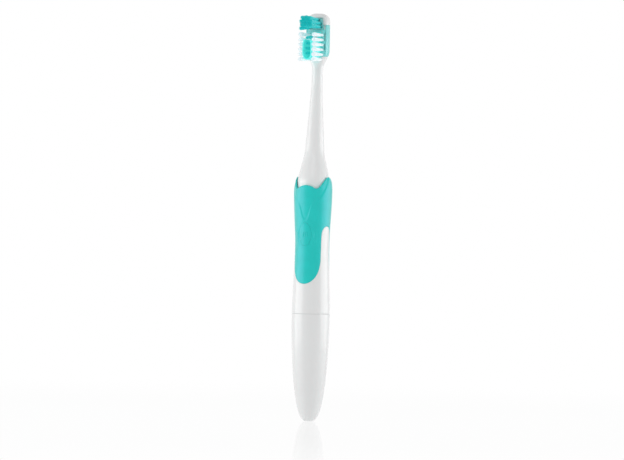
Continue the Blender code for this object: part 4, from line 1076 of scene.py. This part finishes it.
@dataclass
class Grip:
    """The soft overmould: lobes, windows, wavy lip, the scoop and the arcs by the button."""

    edge: float = 0.22
    thickness: float = 1.1
    bore: float = 9.0
    rows: int = 120
    ledge: float = FORM.top + 0.3
    scoop_depth: float = 0.3
    scoop_edge: float = 2.6
    crease: Line = (
        (0, 109.8), (5, 110.2), (10.8, 112.1), (20.2, 117.6), (35, 120.4), (50.4, 122.6),
        (76.6, 130.3), (90, 136.5),
    )
    arcs: tuple[tuple[float, ...], ...] = ((4.85, 6.6, 101.5, 0.26), (6.4, 8.4, 101.5, 0.1))
    arc_power: float = 2.6
    arc_width: float = 0.34
    arc_reach: float = 5.9 / 6.6
    arc_fade: float = 2.6
    hole: Point = (3.54, 6.44)
    hole_roll: Point = (0.07, 0.2)
    lip_drop: float = 0.75
    lip_share: float = 0.55
    lip_probe: float = 0.4

    def build(self) -> None:
        """Makes the grip."""
        stations = FORM.stations()
        rings = [
            [self.rim(s, away, depth) for s in stations] for away, depth in rounding(self.edge, 5)
        ]
        for at in range(1, self.rows + 1):
            rings.append([self.outside(s, at / self.rows) for s in stations])
        for turn in spread(0, math.pi, 9)[1:]:
            rings.append([self.lip(s, turn) for s in stations])
        for share in (0.5, 1.0):
            rings.append([self.throat(s, share) for s in stations])
        for share in spread(1, 0, 7):
            rings.append([s.under(self.ledge, self.thickness, share) for s in stations])
        grip = carve(lofted(rings, hoop=True), button_hole(*self.hole))
        put("soft_grip", grip, GRIP_TEAL, "handle")

    def surface(self, angle: float, height: float) -> float:
        """Radius of the outer side with the scoop, the arcs and the rolled hole.

        Args:
            angle: about the axis.
            height: above the tip.

        Returns:
            The radius there.
        """
        front = math.remainder(angle, TURN)
        turn = abs(math.degrees(front))
        if turn >= 90:
            return FORM.radius(height)
        above = height - through(self.crease, turn)
        offset = -self.scoop_depth * ease(above / self.scoop_edge)
        x = FORM.waist_radius * front
        for wide, tall, middle, rise in self.arcs:
            up, power = height - middle, self.arc_power
            reach = (abs(x / wide) ** power + abs(up / tall) ** power) ** (1 / power)
            fade = ease((self.arc_reach * tall - abs(up)) / self.arc_fade)
            offset += rise * fade * math.exp(-(((reach - 1) * wide / self.arc_width) ** 2))
        (wide, tall), (depth, width) = self.hole, self.hole_roll
        out = (math.hypot(x / wide, (height - BUTTON_MIDDLE) / tall) - 1) * wide
        offset -= depth * math.exp(-((max(out, 0) / width) ** 2))
        return FORM.radius(height) + offset

    def rim(self, station: Station, away: float, depth: float) -> Vector:
        """A point of the rounded lower edge, away from it and below the surface."""
        angle, height = station.moved(away)
        return polar(self.surface(angle, height) - depth, angle, height)

    def lip_shape(self, angle: float) -> tuple[float, float, float]:
        """Where the lip starts to round.

        Args:
            angle: about the axis.

        Returns:
            The height, the outer radius there and the rounding's height.
        """
        top = FORM.lip(angle)
        thickness = self.surface(angle, top - self.lip_probe) - self.bore
        drop = min(self.lip_drop, self.lip_share * thickness)
        return top - drop, self.surface(angle, top - drop), drop

    def outside(self, station: Station, share: float) -> Vector:
        """A point of a column between the lower edge and the lip.

        Args:
            station: the column.
            share: of the way up.

        Returns:
            The point.
        """
        angle, height = station.moved(self.edge)
        turn = lerp(angle, station.head, ease(share))
        place = lerp(height, self.lip_shape(station.head)[0], share)
        return polar(self.surface(turn, place), turn, place)

    def lip(self, station: Station, turn: float) -> Vector:
        """A point of the rounded lip.

        Args:
            station: the column.
            turn: half a turn from the lip's outer side to its inner one.

        Returns:
            The point.
        """
        start, outer, drop = self.lip_shape(station.head)
        middle, half = (outer + self.bore) / 2, (outer - self.bore) / 2
        height = start + drop * math.sin(turn)
        return polar(middle + half * math.cos(turn), station.head, height)

    def throat(self, station: Station, share: float) -> Vector:
        """A point of the upright inner wall round the neck, at a share of the way down."""
        start = self.lip_shape(station.head)[0]
        return polar(self.bore, station.head, lerp(start, self.ledge, share))


@dataclass
class Button:
    """The oval power button with its three bars and the flange inside."""

    half_width: float = 3.5
    half_height: float = 6.4
    proud: float = 0.05
    crown: float = 0.14
    back: float = -5.41
    edge: float = 0.15
    bar_places: tuple[float, ...] = (-1.1, 0.0, 1.1)
    bar_half: float = 1.0
    bar_flat: float = 0.12
    bar_slope: float = 0.2
    bar_rise: float = 0.2
    flange_radius: float = 6.7
    flange_wall: float = 0.6
    flange_half: Point = (4.6, 7.5)
    flange_bow: float = 0.6

    def build(self) -> None:
        """Makes the button."""
        wide, tall = self.half_width, self.half_height
        rings = [facing(ellipse(wide, tall, 96, (0.0, BUTTON_MIDDLE)), self.back)]
        for inset, sink in rounding(self.edge, 5):
            rings.append(self.face(1 - inset / wide, sink))
        for share in spread(1 - self.edge / wide, 0.01, 40)[1:]:
            rings.append(self.face(share))
        button = carve(lofted(rings), self.flange(), operation="UNION")
        put("power_button", button, GRIP_TEAL, "button")

    def face(self, share: float, sink: float = 0.0) -> list[Vector]:
        """A ring of the crowned face.

        Args:
            share: of the way out from the middle.
            sink: how far it lies below the face.

        Returns:
            The ring's points.
        """
        ring = []
        for x, up in ellipse(self.half_width * share, self.half_height * share, 96):
            rise = self.proud + self.crown * (1 - share**2) - sink + self.bars(x, up)
            radius = FORM.radius(BUTTON_MIDDLE + up) + rise
            ring.append(Vector((x, -math.sqrt(radius**2 - x**2), BUTTON_MIDDLE + up)))
        return ring

    def bars(self, x: float, up: float) -> float:
        """Height of the three short bars.

        Args:
            x: across the button's middle.
            up: from the button's middle.

        Returns:
            The height there.
        """
        along = max(0.0, abs(up) - self.bar_half)
        away = min(math.hypot(x - place, along) for place in self.bar_places)
        return self.bar_rise * (1 - ease((away - self.bar_flat) / self.bar_slope))

    def flange(self) -> BMesh:
        """The curved flange that keeps the button in the casing.

        Returns:
            The closed flange.
        """
        outer, inner = self.flange_radius, self.flange_radius - self.flange_wall
        half_turn, rings = self.flange_half[0] / outer, []
        for angle in spread(-half_turn, half_turn, 25):
            bow = self.flange_bow * (angle / half_turn) ** 2
            half = self.flange_half[1] * math.sqrt(1 - bow)
            corners = ((inner, -half), (outer, -half), (outer, half), (inner, half))
            rings.append([polar(radius, angle, BUTTON_MIDDLE + up) for radius, up in corners])
        return lofted(rings)


@dataclass
class HeadForm:
    """Sections of the neck and the head."""

    low: float = 127.4
    foot: float = 132.1
    throat: float = 186.1
    flare: float = 194.0
    head: float = 204.6
    top: float = 224.95
    skirt_radius: float = 8.7
    skirt_rise: float = 18.0
    foot_radius: float = 6.6
    throat_radius: float = 3.05
    half_width: float = 6.3
    half_thickness: float = 2.8
    corner: float = 1.5
    crown: float = 4.5
    lean: float = 2.7
    front: float = -0.1
    plate: float = 0.9
    mould_low: float = 201.2
    mould_top: float = 218.7

    def sizes(self, height: float) -> tuple[float, float, float]:
        """Half width, half thickness and corner radius of a level section.

        Args:
            height: above the tip.

        Returns:
            The three sizes.
        """
        taper = 1 - clamp((height - self.foot) / (self.throat - self.foot))
        skirt = 1 - ease((height - self.foot) / self.skirt_rise)
        radius = (
            self.throat_radius + (self.foot_radius - self.throat_radius) * taper**1.1
            + (self.skirt_radius - self.foot_radius) * skirt
        )
        flare = ease((height - self.flare) / (self.head - self.flare))
        ends = (self.half_width, self.half_thickness, self.corner)
        half, thick, corner = [lerp(radius, end, flare) for end in ends]
        over = height - (self.top - self.crown)
        if over > 0:
            drop = self.crown - math.sqrt(max(0.0, self.crown**2 - over**2))
            half, thick = half - drop, thick - drop / 3
        return half, thick, min(corner, thick, half)

    def ring(self, height: float, inset: float = 0.0, front_inset: float = 0.0) -> list[Vector]:
        """Points round a section.

        Args:
            height: of the level section.
            inset: how far it is drawn in at the sides and the back.
            front_inset: how far it is drawn in at the front.

        Returns:
            128 points, which start at +X and turn towards the back.
        """
        half, thick, corner = self.sizes(height)
        middle = self.lean * clamp((height - self.foot) / (self.flare - self.foot))
        half, near, far = half - inset, middle - thick + front_inset, middle + thick - inset
        centre, deep = (near + far) / 2, (far - near) / 2
        corner = min(max(corner - inset, 0.2), deep, half)
        ways = ellipse(half, deep, 128)
        points = [rounded_box_point(Vector(way), half, deep, corner) for way in ways]
        return level([(x, centre + y) for x, y in points], height)


def rounded_box_point(way: Vector, half: float, deep: float, corner: float) -> Point:
    """Where a ray from the middle of a rounded rectangle meets its outline.

    Args:
        way: the ray's direction.
        half: half width.
        deep: half depth.
        corner: radius of the corners.

    Returns:
        The (x, y) of the point.
    """
    x, y = abs(way.x), abs(way.y)
    scale = min(half / x if x > 1e-12 else math.inf, deep / y if y > 1e-12 else math.inf)
    centre_x, centre_y = half - corner, deep - corner
    if x * scale > centre_x and y * scale > centre_y:
        a = x * x + y * y
        b = x * centre_x + y * centre_y
        c = centre_x * centre_x + centre_y * centre_y - corner * corner
        scale = (b + math.sqrt(max(0.0, b * b - a * c))) / a
    return math.copysign(x * scale, way.x), math.copysign(y * scale, way.y)


HEAD = HeadForm()


@dataclass
class NeckAndHead:
    """The white neck with the head's core and crown, and the clear moulding round the head."""

    socket: Line = ((0.0, 141.7), (4.5, 141.7), (5.5, 140.7), (6.95, 127.4), (8.2, 127.4))
    foot_edge: float = 0.5
    inset: float = 1.05
    front_inset: float = 1.2
    edge: float = 0.12
    wall: float = 0.8
    row: float = 0.9
    above_mould: float = 0.8
    crown_turn: float = 0.95 * QUARTER
    crown_end: Line = ((0.02, 0.25), (0.0, 0.6))
    pocket: tuple[tuple[float, ...], ...] = (
        (-4.06, HEAD.front - 3, 216.0), (4.06, HEAD.front + 1.25, 222.7),
    )
    mould_gap: float = 0.03
    mould_rim: Line = ((0.0, 0.14), (0.06, 0.04), (0.16, 0.0))

    def build(self) -> None:
        """Makes the neck and the moulding."""
        low, top, edge, crown = HEAD.mould_low, HEAD.mould_top, self.edge, HEAD.top - HEAD.crown
        foot = [(max(radius, 0.05), z) for radius, z in rounded(self.socket, 0.3)[:-1]]
        for rise, inset in rounding(self.foot_edge, 5)[1:]:
            foot.append((HEAD.skirt_radius - inset, HEAD.low + rise))
        rows = int((low - HEAD.foot) / self.row)
        sections = [(height,) for height in spread(HEAD.foot - 2, low - edge, rows)]
        sections += [(low, edge, edge), (low, self.inset, self.front_inset)]
        sections += [(top, self.inset, self.front_inset), (top, edge, edge), (top + edge,)]
        sections += [(height,) for height in spread(top + self.above_mould, crown, 4)]
        for turn in spread(0, self.crown_turn, 14)[1:]:
            sections.append((crown + HEAD.crown * math.sin(turn),))
        sections += [(HEAD.top - drop, inset, inset) for drop, inset in self.crown_end]
        rings = [level(ellipse(radius, radius, 128), height) for radius, height in foot]
        rings += [HEAD.ring(*section) for section in sections]
        put("neck_shell", carve(lofted(rings), block(*self.pocket, 0.4)), CASING_WHITE, "head")
        self.build_mould()

    def build_mould(self) -> None:
        """Makes the clear moulding, which clasps the head's sides and back."""
        low, top = HEAD.mould_low + self.mould_gap, HEAD.mould_top - self.mould_gap
        rows = [(low + away, inset) for away, inset in self.mould_rim]
        rows[-1:] = [(height, 0.0) for height in spread(rows[-1][0], HEAD.head, 8)]
        rows += [(top - away, inset) for away, inset in self.mould_rim[::-1]]
        rings = [level(self.clasp(height, inset), height) for height, inset in rows]
        put("head_overmould", lofted(rings), MOULD_TEAL, "head")

    def clasp(self, height: float, inset: float) -> list[Point]:
        """The U-shaped section of the clear moulding.

        Args:
            height: of the level section.
            inset: how far it is drawn in all round.

        Returns:
            The section's (x, y) points in order.
        """
        half, thick, corner = HEAD.sizes(height)
        half, thick, inner = half - inset, thick - inset, corner - self.wall
        back, front, lean = HEAD.lean + thick, HEAD.front + 0.1 + inset, HEAD.lean
        wall = self.wall - 2 * inset
        side = [(half - wall * 0.5, front - 0.1), (half - self.edge, front)]
        side += [(half, front + 0.3), (half, lean), (half, back - corner)]
        side += arc((half - corner, back - corner), corner, 0, QUARTER, 7)[1:]
        side += [(half * 0.4, back), (0.0, back)]
        deep, inner_back = half - wall, back - wall
        under = [(0.0, inner_back), (half * 0.4, inner_back)]
        under += arc((deep - inner, inner_back - inner), inner, QUARTER, 0, 7)
        under += [(deep, lean), (deep, front + 0.3), (deep + self.edge, front)]
        return side + flipped(side[:-1]) + flipped(under[1:]) + under


@dataclass(frozen=True)
class Tuft:
    """A kind of round tuft, whose filaments are spread as a sunflower's seeds are."""

    count: int
    length: float
    radius: float
    widening: float
    thickness: float
    dome: float
    sunk: float = 0.4
    uneven: Point = (-0.12, 0.06)
    shaken: float = 0.07

    def fill(
        self, bm: BMesh, template: bpy.types.Mesh, chance: random.Random, foot: Point, aim: Point
    ) -> None:
        """Adds one tuft's filaments.

        Args:
            bm: that the filaments go to.
            template: one filament, 1 long and 1 in radius, along -Y.
            chance: source of the small differences between filaments.
            foot: (x, z) of the tuft's foot.
            aim: (x, z) of the middle of its tips.
        """
        for at in range(self.count):
            share, turn = math.sqrt((at + 0.5) / self.count), at * GOLDEN
            out = Vector((share * math.cos(turn), 0, share * math.sin(turn)))
            root = Vector((foot[0], HEAD.front + self.sunk, foot[1])) + out * self.radius
            length = self.length - self.dome * share**2 + chance.uniform(*self.uneven)
            shake = Vector((chance.uniform(-1, 1), 0, chance.uniform(-1, 1))) * self.shaken
            tip = Vector((aim[0], HEAD.front - length, aim[1])) + shake
            along = root - tip - out * (self.radius + self.widening)
            look = along.to_track_quat("Y", "Z").to_matrix().to_4x4()
            size = Matrix.Diagonal((self.thickness, along.length, self.thickness, 1.0))
            filament = template.copy()
            filament.transform(Matrix.Translation(root) @ look @ size)
            bm.from_mesh(filament)
            bpy.data.meshes.remove(filament)


SIDE_TUFT = Tuft(count=56, length=13.0, radius=0.56, widening=0.7, thickness=0.11, dome=0.7)
INNER_TUFT = Tuft(count=44, length=12.7, radius=0.6, widening=0.18, thickness=0.11, dome=0.4)
TIP_TUFT = Tuft(count=38, length=14.6, radius=0.62, widening=0.5, thickness=0.13, dome=0.1)


@dataclass
class Bristles:
    """The head's face with its tufts: white at the sides, teal inside and at the tip.

    A tuft's place is its foot's x and z and its tips' x and z.
    """

    pitch: float = 2.7
    first: float = 199.5
    sides: tuple[float, ...] = (3.2, 3.95, 4.05, 4.05, 4.05, 3.95)
    side_tips: float = 4.05
    seed: int = 7
    margin: float = 0.86
    plate_top: float = 216.1
    inner_places: tuple[tuple[float, ...], ...] = (
        (0.0, 202.75, 0.0, 202.75), (0.0, 205.45, 0.0, 205.5), (0.0, 208.15, 0.0, 208.35),
        (0.0, 212.6, 0.0, 211.15),
    )
    tip_places: tuple[tuple[float, ...], ...] = (
        (-3.1, 217.25, -2.9, 216.3), (-2.0, 217.4, -2.5, 218.3), (-0.7, 217.3, -0.9, 218.2),
        (1.0, 217.3, 0.98, 218.2), (3.05, 217.4, 2.95, 218.1), (-2.95, 219.4, -2.9, 220.2),
        (-0.95, 219.4, -0.95, 220.2), (0.95, 219.4, 0.95, 220.2), (2.95, 219.4, 2.9, 220.1),
        (-1.5, 221.4, -2.2, 222.2), (1.6, 221.3, 2.1, 222.1), (0.0, 221.7, 0.0, 222.4),
    )
    opening: tuple[float, ...] = (2.95, 200.5, 214.95)
    slots: Line = ((204.7, 208.1), (209.9, 214.2))
    slot_sides: Line = ((-5.7, -4.8), (4.8, 5.7))
    strip: tuple[float, ...] = (1.0, 202.95, 213.6)
    tip_box: tuple[float, ...] = (4.0, 216.25, 222.6)
    tip_corners: Point = (3.4, 0.4)
    plate_rows: Line = ((0.0, 0.12), (0.04, 0.04), (0.12, 0.0), (HEAD.plate, 0.0))
    tip_rows: Line = ((0.0, 0.2), (0.06, 0.06), (0.2, 0.0), (1.2, 0.0))
    filament: Line = ((0, 1), (-0.5, 1), (-0.965, 0.97), (-0.99, 0.75), (-1.0, 0.35))

    def build(self) -> None:
        """Makes the three plates, each with its tufts."""
        shape = lofted([facing(ellipse(radius, radius, 6), y) for y, radius in self.filament])
        template, chance = meshed("filament", shape), random.Random(self.seed)
        half, low, top = self.strip
        strip = block((-half, HEAD.front, low), (half, HEAD.front + HEAD.plate, top), 0.15)
        heights = [self.first + row * self.pitch for row in range(len(self.sides))]
        side_places = [
            (x * side, z, x * self.side_tips, z)
            for z, side in zip(heights, self.sides) for x in (-1, 1)
        ]
        for base, plate, moulded, name, kind, finish, places in (
            ("brush_plate", self.brush_plate(), MOULD_TEAL,
             "outer_bristles", SIDE_TUFT, BRISTLE_WHITE, side_places),
            ("inner_strip", strip, CUP_TEAL,
             "inner_bristles", INNER_TUFT, BRISTLE_TEAL, self.inner_places),
            ("tip_plate", raised(self.tip_outline, self.tip_rows, HEAD.front), MOULD_TEAL,
             "tip_bristles", TIP_TUFT, BRISTLE_TEAL, self.tip_places),
        ):
            put(base, plate, moulded, "head", name)
            bm = bmesh.new()
            for place in places:
                kind.fill(bm, template, chance, place[:2], place[2:])
            put(name, bm, finish, "head", faces_out=False)

    def brush_plate(self) -> BMesh:
        """The white tufts' plate, open in its middle and slotted at its sides.

        Returns:
            The closed plate.
        """
        half, low, top = self.opening
        cuts = [block((-half, -2, low), (half, 2, top))]
        for slot_low, slot_top in self.slots:
            for near, far in self.slot_sides:
                cuts.append(block((near, -1, slot_low), (far, 2, slot_top), 0.12))
        return carve(raised(self.outline, self.plate_rows, HEAD.front), *cuts)

    def outline(self, inset: float) -> list[Point]:
        """Outline of the brush plate between the moulding's sides.

        Args:
            inset: how far it is drawn in.

        Returns:
            Its (x, z) points in order.
        """
        low, top = HEAD.mould_low + 0.06, self.plate_top
        side = [
            (HEAD.sizes(z)[0] - self.margin - inset, clamp(z, low + inset, top - inset))
            for z in (*spread(low, HEAD.head, 9), top)
        ]
        return side + flipped(side)

    def tip_outline(self, inset: float) -> list[Point]:
        """Outline of the tip's plate, with a round upper end.

        Args:
            inset: how far it is drawn in.

        Returns:
            Its (x, z) points in order.
        """
        half, low, top = self.tip_box
        half, low, top = half - inset, low + inset, top - inset
        corner, foot = self.tip_corners
        points = arc((half - corner, top - corner), corner, 0, QUARTER, 9)
        points += flipped(points)
        for x, start in ((foot - half, math.pi), (half - foot, math.pi + QUARTER)):
            points += arc((x, low + foot), foot, start, start + QUARTER, 4)
        return points


@dataclass
class PolishingCup:
    """The two soft curved walls between the white tufts, on their frame."""

    path: Line = (
        (1.7, 209.9), (2.2, 208.5), (2.42, 206.6), (2.47, 204.6), (2.4, 202.8), (2.1, 201.2),
        (1.5, 200.1), (0.6, 199.5),
    )
    steps: int = 25
    wall: float = 0.72
    wall_root: float = 0.5
    wall_middle: float = -6.0
    rim: float = -12.1
    rim_start: float = 0.4
    rim_edge: float = 0.34
    frame: tuple[float, ...] = (2.85, 201.1, 214.8)
    window: tuple[float, ...] = (1.2, 202.8, 213.8)

    def build(self) -> None:
        """Makes the walls and the frame."""
        front, (half, low, top) = HEAD.front, self.frame
        base = block((-half, front, low), (half, front + HEAD.plate, top), 0.12)
        half, low, top = self.window
        window = block((-half, -2, low), (half, 2, top), 0.1)
        depths = (front + self.wall_root, self.wall_middle, self.rim + self.rim_start)
        rows = [(depth, 0.0) for depth in depths]
        rows += [(self.rim + rise, inset) for inset, rise in rounding(self.rim_edge, 5)[1:]]
        walls = []
        for side in (-1, 1):
            plans = [[(side * x, z) for x, z in self.outline(inset)] for _, inset in rows]
            walls.append(lofted([facing(plan, y) for plan, (y, _) in zip(plans, rows)]))
        cup = carve(carve(base, window), *walls, operation="UNION")
        put("polishing_cup", cup, CUP_TEAL, "head")

    def outline(self, inset: float) -> list[Point]:
        """Plan of the right wall with its half round ends.

        Args:
            inset: how far it is drawn in.

        Returns:
            Its (x, z) points in order.
        """
        half, last = self.wall / 2 - inset, self.steps - 1
        keys = [[(at, place[axis]) for at, place in enumerate(self.path)] for axis in (0, 1)]
        shares = spread(0, len(self.path) - 1, self.steps)
        line = [Vector([through(key, share) for key in keys]) for share in shares]
        sides: list[Vector] = []
        for at in range(self.steps):
            along = line[min(at + 1, last)] - line[max(at - 1, 0)]
            sides.append(Vector((along.y, -along.x)).normalized())
        points = [here + side * half for here, side in zip(line, sides)]
        points += self.end(line[-1], sides[-1], half)
        points += [here - side * half for here, side in zip(line[::-1], sides[::-1])]
        points += self.end(line[0], -sides[0], half)
        return [tuple(point) for point in points]

    def end(self, here: Vector, side: Vector, half: float) -> list[Vector]:
        """Points of a half round end, from one side to the other.

        Args:
            here: the end's middle.
            side: way to its first side.
            half: its half width.

        Returns:
            The points between the sides.
        """
        onward = Vector((-side.y, side.x))
        turns = spread(0, math.pi, 7)[1:-1]
        return [here + (side * math.cos(t) + onward * math.sin(t)) * half for t in turns]


@dataclass
class Mouth:
    """What the open cap shows: the collar in the casing's mouth, its seal and the cell."""

    edge: float = 0.18
    collar: Line = (
        (0, 60.5), (7.3, 60.5), (7.3, 66.0), (8.8, 66.0), (8.8, 59.4), (8.3, 59.4), (8.3, 57.55),
        (7.65, 57.55), (7.65, 56.25), (8.3, 56.25), (8.3, 51.6), (5.55, 51.6), (5.55, 58.5),
        (0, 58.5),
    )
    openings: tuple[tuple[tuple[float, ...], tuple[float, ...]], ...] = (
        ((-1.5, 5.25, 51.3), (1.5, 6.55, 60.8)), ((-1.5, -3.0, 58.2), (1.5, -2.0, 60.8)),
    )
    seal: Line = ((0.33, 0.35), (8.27, 56.9))
    can: Line = (
        (0, 13.1), (3.4, 13.1), (3.6, 13.0), (4.7, 13.0), (4.7, 56.3), (3.5, 56.3), (3.3, 56.1),
        (2.6, 56.1), (2.5, 56.3), (0, 56.3),
    )
    film: Line = (
        (4.85, 13.5), (4.95, 13.45), (5.15, 13.6), (5.25, 13.9), (5.25, 55.4), (5.15, 55.7),
        (4.95, 55.85), (4.85, 55.8),
    )
    nub: Line = ((0, 56.45), (1.9, 56.45), (1.9, 57.1), (1.7, 57.5), (0, 57.5))

    def build(self) -> None:
        """Makes the collar, the seal and the cell."""
        cap = BatteryCap()
        openings = [block(*corners) for corners in self.openings]
        collar = carve(turned(rounded(self.collar, self.edge)), *openings)
        collar = carve(collar, *map(cap.lug, cap.lugs), operation="UNION")
        put("battery_collar", collar, INNER_WHITE, "handle")
        put("cap_seal", o_ring(*self.seal), SEAL_BLACK, "handle")
        put("battery_can", turned(rounded(self.can, 0.3)), MOTOR_STEEL, "battery")
        put("battery_film", turned(self.film, closed=True), FILM_DARK, "battery")
        put("battery_nub", turned(rounded(self.nub, 0.25), 48), MOTOR_STEEL, "battery")


def o_ring(half: Point, middle: Point) -> BMesh:
    """A rubber ring by the half sizes and the middle of its oval section."""
    return turned(ellipse(*half, 16, middle), closed=True)


@dataclass
class Drive:
    """What the pulled head shows, the drive post and its seal, and the motor's leads."""

    post: Line = (
        (0, 138.1), (4.4, 138.1), (4.4, 124.4), (7.9, 124.4), (7.9, 127.1), (6.6, 127.1),
        (6.31, 129.95), (5.44, 129.95), (5.44, 131.45), (6.17, 131.45), (5.3, 140.1),
        (4.2, 141.1), (0, 141.1),
    )
    seal: Line = ((0.21, 0.45), (5.96, 130.7))
    lead_radius: float = 0.5
    lead_side: float = 2.4
    lead_ends: Line = ((-0.7, 96.1), (2.7, 109.5))

    def build(self) -> None:
        """Makes the post, the seal and the leads."""
        put("drive_post", turned(rounded(self.post, 0.25)), INNER_WHITE, "handle")
        put("neck_seal", o_ring(*self.seal), SEAL_BLACK, "handle")
        for side, colour, finish in ((1, "red", LEAD_RED), (-1, "black", MOULDED_BLACK)):
            start, end = [Vector((side * self.lead_side, *place)) for place in self.lead_ends]
            bend = start + Vector((0, 2 * (end.y - start.y), 0))
            points = [
                start.lerp(bend, share).lerp(bend.lerp(end, share), share)
                for share in spread(0, 1, 25)
            ]
            put(f"motor_lead_{colour}", tube(points, self.lead_radius, 12), finish, "handle")


@dataclass
class Inside:
    """The battery spring, and the finishes of the CAD nodes that stay."""

    spring_radii: Point = (3.1, 2.0)
    spring_ends: Point = (7.1, 12.4)
    spring_turns: int = 4
    wire: float = 0.3
    dressed: tuple[tuple[Finish, str], ...] = (
        (CONTACT_NICKEL, "positive_contact collar_contact negative_contact"),
        (BOARD_GREEN, "circuit_board"),
        (MOULDED_BLACK, "driver_chip switch_body switch_stem"),
        (CAPACITOR_BLUE, "filter_capacitor"),
        (CHASSIS_GREY, "chassis"),
        (MOTOR_STEEL, "motor_can motor_shaft eccentric_weight"),
        (BELL_CREAM, "motor_end_bell"),
        (TERMINAL_BRASS, "front_bushing motor_terminal_right motor_terminal_left"),
        (SEAL_BLACK, "motor_sleeve"),
        (MAGNET_GREY, "motor_magnet_right motor_magnet_left"),
        (WINDING_COPPER, "commutator armature"),
    )

    def build(self) -> None:
        """Makes the spring and dresses the CAD nodes that stay."""
        points = []
        for share in spread(0, 1, 40 * self.spring_turns + 1):
            radius, height = lerp(*self.spring_radii, share), lerp(*self.spring_ends, share)
            points.append(polar(radius, TURN * self.spring_turns * share, height))
        put("battery_spring", tube(points, self.wire), MOTOR_STEEL, "cap")
        for finish, names in self.dressed:
            for name in names.split():
                materials = frame["nodes"][name].data.materials
                materials.clear()
                materials.append(finish.material())
                LOG.info("%s dressed as %s", name, finish.name)


@dataclass
class Studio:
    """The floor, the lights and the camera, in metres.

    A key is its azimuth from the camera's side towards +X and its elevation, both in degrees, its
    distance, width, height and power.
    """

    distance: float = 4.0
    turn: float = math.radians(25)
    middle: float = 0.1054
    roll: float = math.radians(1.15)
    aside: float = -0.0007
    width: float = 0.3445
    sensor: float = 36.0
    floor_half: float = 1.5
    floor_drop: float = 0.02 * MM
    veil: float = 0.7
    fade: Point = (0.3, 1.1)
    lift: float = 0.3
    kinds: tuple[str, ...] = ("Is Camera Ray", "Is Glossy Ray", "Is Transmission Ray")
    shade: float = 0.47
    keys: tuple[tuple[float, ...], ...] = (
        (-82, 0, 0.62, 0.66, 0.34, 1.54), (90, 0, 0.62, 0.66, 0.34, 1.54),
        (-8, 42, 0.8, 0.5, 0.5, 0.78),
    )

    def build(self) -> None:
        """Makes the camera, the world, the floor and the lights."""
        self.camera()
        self.world()
        self.floor()
        for at, (azimuth, elevation, away, wide, tall, power) in enumerate(self.keys):
            data = bpy.data.lights.new(f"key_{at}", "AREA")
            data.shape = "RECTANGLE"
            data.size, data.size_y, data.energy = wide, tall, power
            self.stand(data, azimuth, elevation, away)
        bpy.context.scene.view_settings.view_transform = "Standard"
        LOG.info("studio with %d lights", len(self.keys))

    def stand(
        self, data: bpy.types.ID, azimuth: float, elevation: float, away: float, roll: float = 0.0
    ) -> bpy.types.Object:
        """Stands a camera or a light by the object, which it faces.

        Args:
            data: of the camera or the light.
            azimuth: from the camera's side, towards +X, in degrees.
            elevation: above the floor, in degrees.
            away: distance from the object.
            roll: about its own view.

        Returns:
            The new object.
        """
        turn, rise = self.turn + math.radians(azimuth), math.radians(elevation)
        level_way = Vector((math.sin(turn), -math.cos(turn), 0)) * math.cos(rise)
        way = level_way + Vector((0, 0, math.sin(rise)))
        place = Matrix.Translation(Vector((0, 0, self.middle)) + way * away)
        look = (-way).to_track_quat("-Z", "Y").to_matrix().to_4x4()
        obj = placed(data.name, data)
        obj.matrix_world = place @ look @ Matrix.Rotation(roll, 4, "Z")
        return obj

    def camera(self) -> None:
        """Places the camera at the photograph's view."""
        data = bpy.data.cameras.new("view")
        data.sensor_fit = "HORIZONTAL"
        data.sensor_width = self.sensor
        data.lens = self.sensor * self.distance / self.width
        data.shift_x = self.aside
        bpy.context.scene.camera = self.stand(data, 0, 0, self.distance, self.roll)

    def world(self) -> None:
        """A soft grey light from all round, behind which the camera sees white."""
        world = bpy.data.worlds.new("studio")
        bpy.context.scene.world = world
        graph = Graph(world)
        lit = graph.tree.nodes["Background"]
        graph.fill(lit, {"Color": WHITE, "Strength": self.shade})
        white = graph.node("ShaderNodeBackground", {"Color": WHITE})
        graph.show("World Output", graph.seen(*self.kinds), lit, white)

    def floor(self) -> None:
        """A pale floor that keeps the shadow and a faint reflection."""
        bm = bmesh.new()
        bmesh.ops.create_grid(bm, x_segments=1, y_segments=1, size=self.floor_half)
        bmesh.ops.translate(bm, vec=(0, 0, -self.floor_drop), verts=bm.verts)
        mesh, material = meshed("floor", bm), bpy.data.materials.new("floor")
        graph = Graph(material)
        shader = graph.tree.nodes["Principled BSDF"]
        graph.fill(shader, {"Base Color": (0.98, 0.98, 0.98, 1), "Roughness": 0.02})
        glow = graph.node("ShaderNodeEmission", {"Strength": 1.0})
        span = graph.node("ShaderNodeVectorMath", {0: graph.place}, operation="LENGTH")
        away = Value(graph, span.outputs["Value"])
        veil = away.rise(*self.fade) * (1 - self.veil) + self.veil
        factor = graph.seen(*self.kinds) * (veil - self.lift) + self.lift
        graph.show("Material Output", factor, shader, glow)
        mesh.materials.append(material)
        placed("floor", mesh)


def main() -> None:
    """Builds every sub-assembly in order."""
    logging.basicConfig(level=logging.INFO, format="%(name)s: %(message)s")
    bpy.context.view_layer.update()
    for part in (
        Studio, BatteryCap, Casing, Grip, Button, NeckAndHead, Bristles, PolishingCup, Mouth,
        Drive, Inside,
    ):
        part().build()


if __name__ == "__main__":
    main()
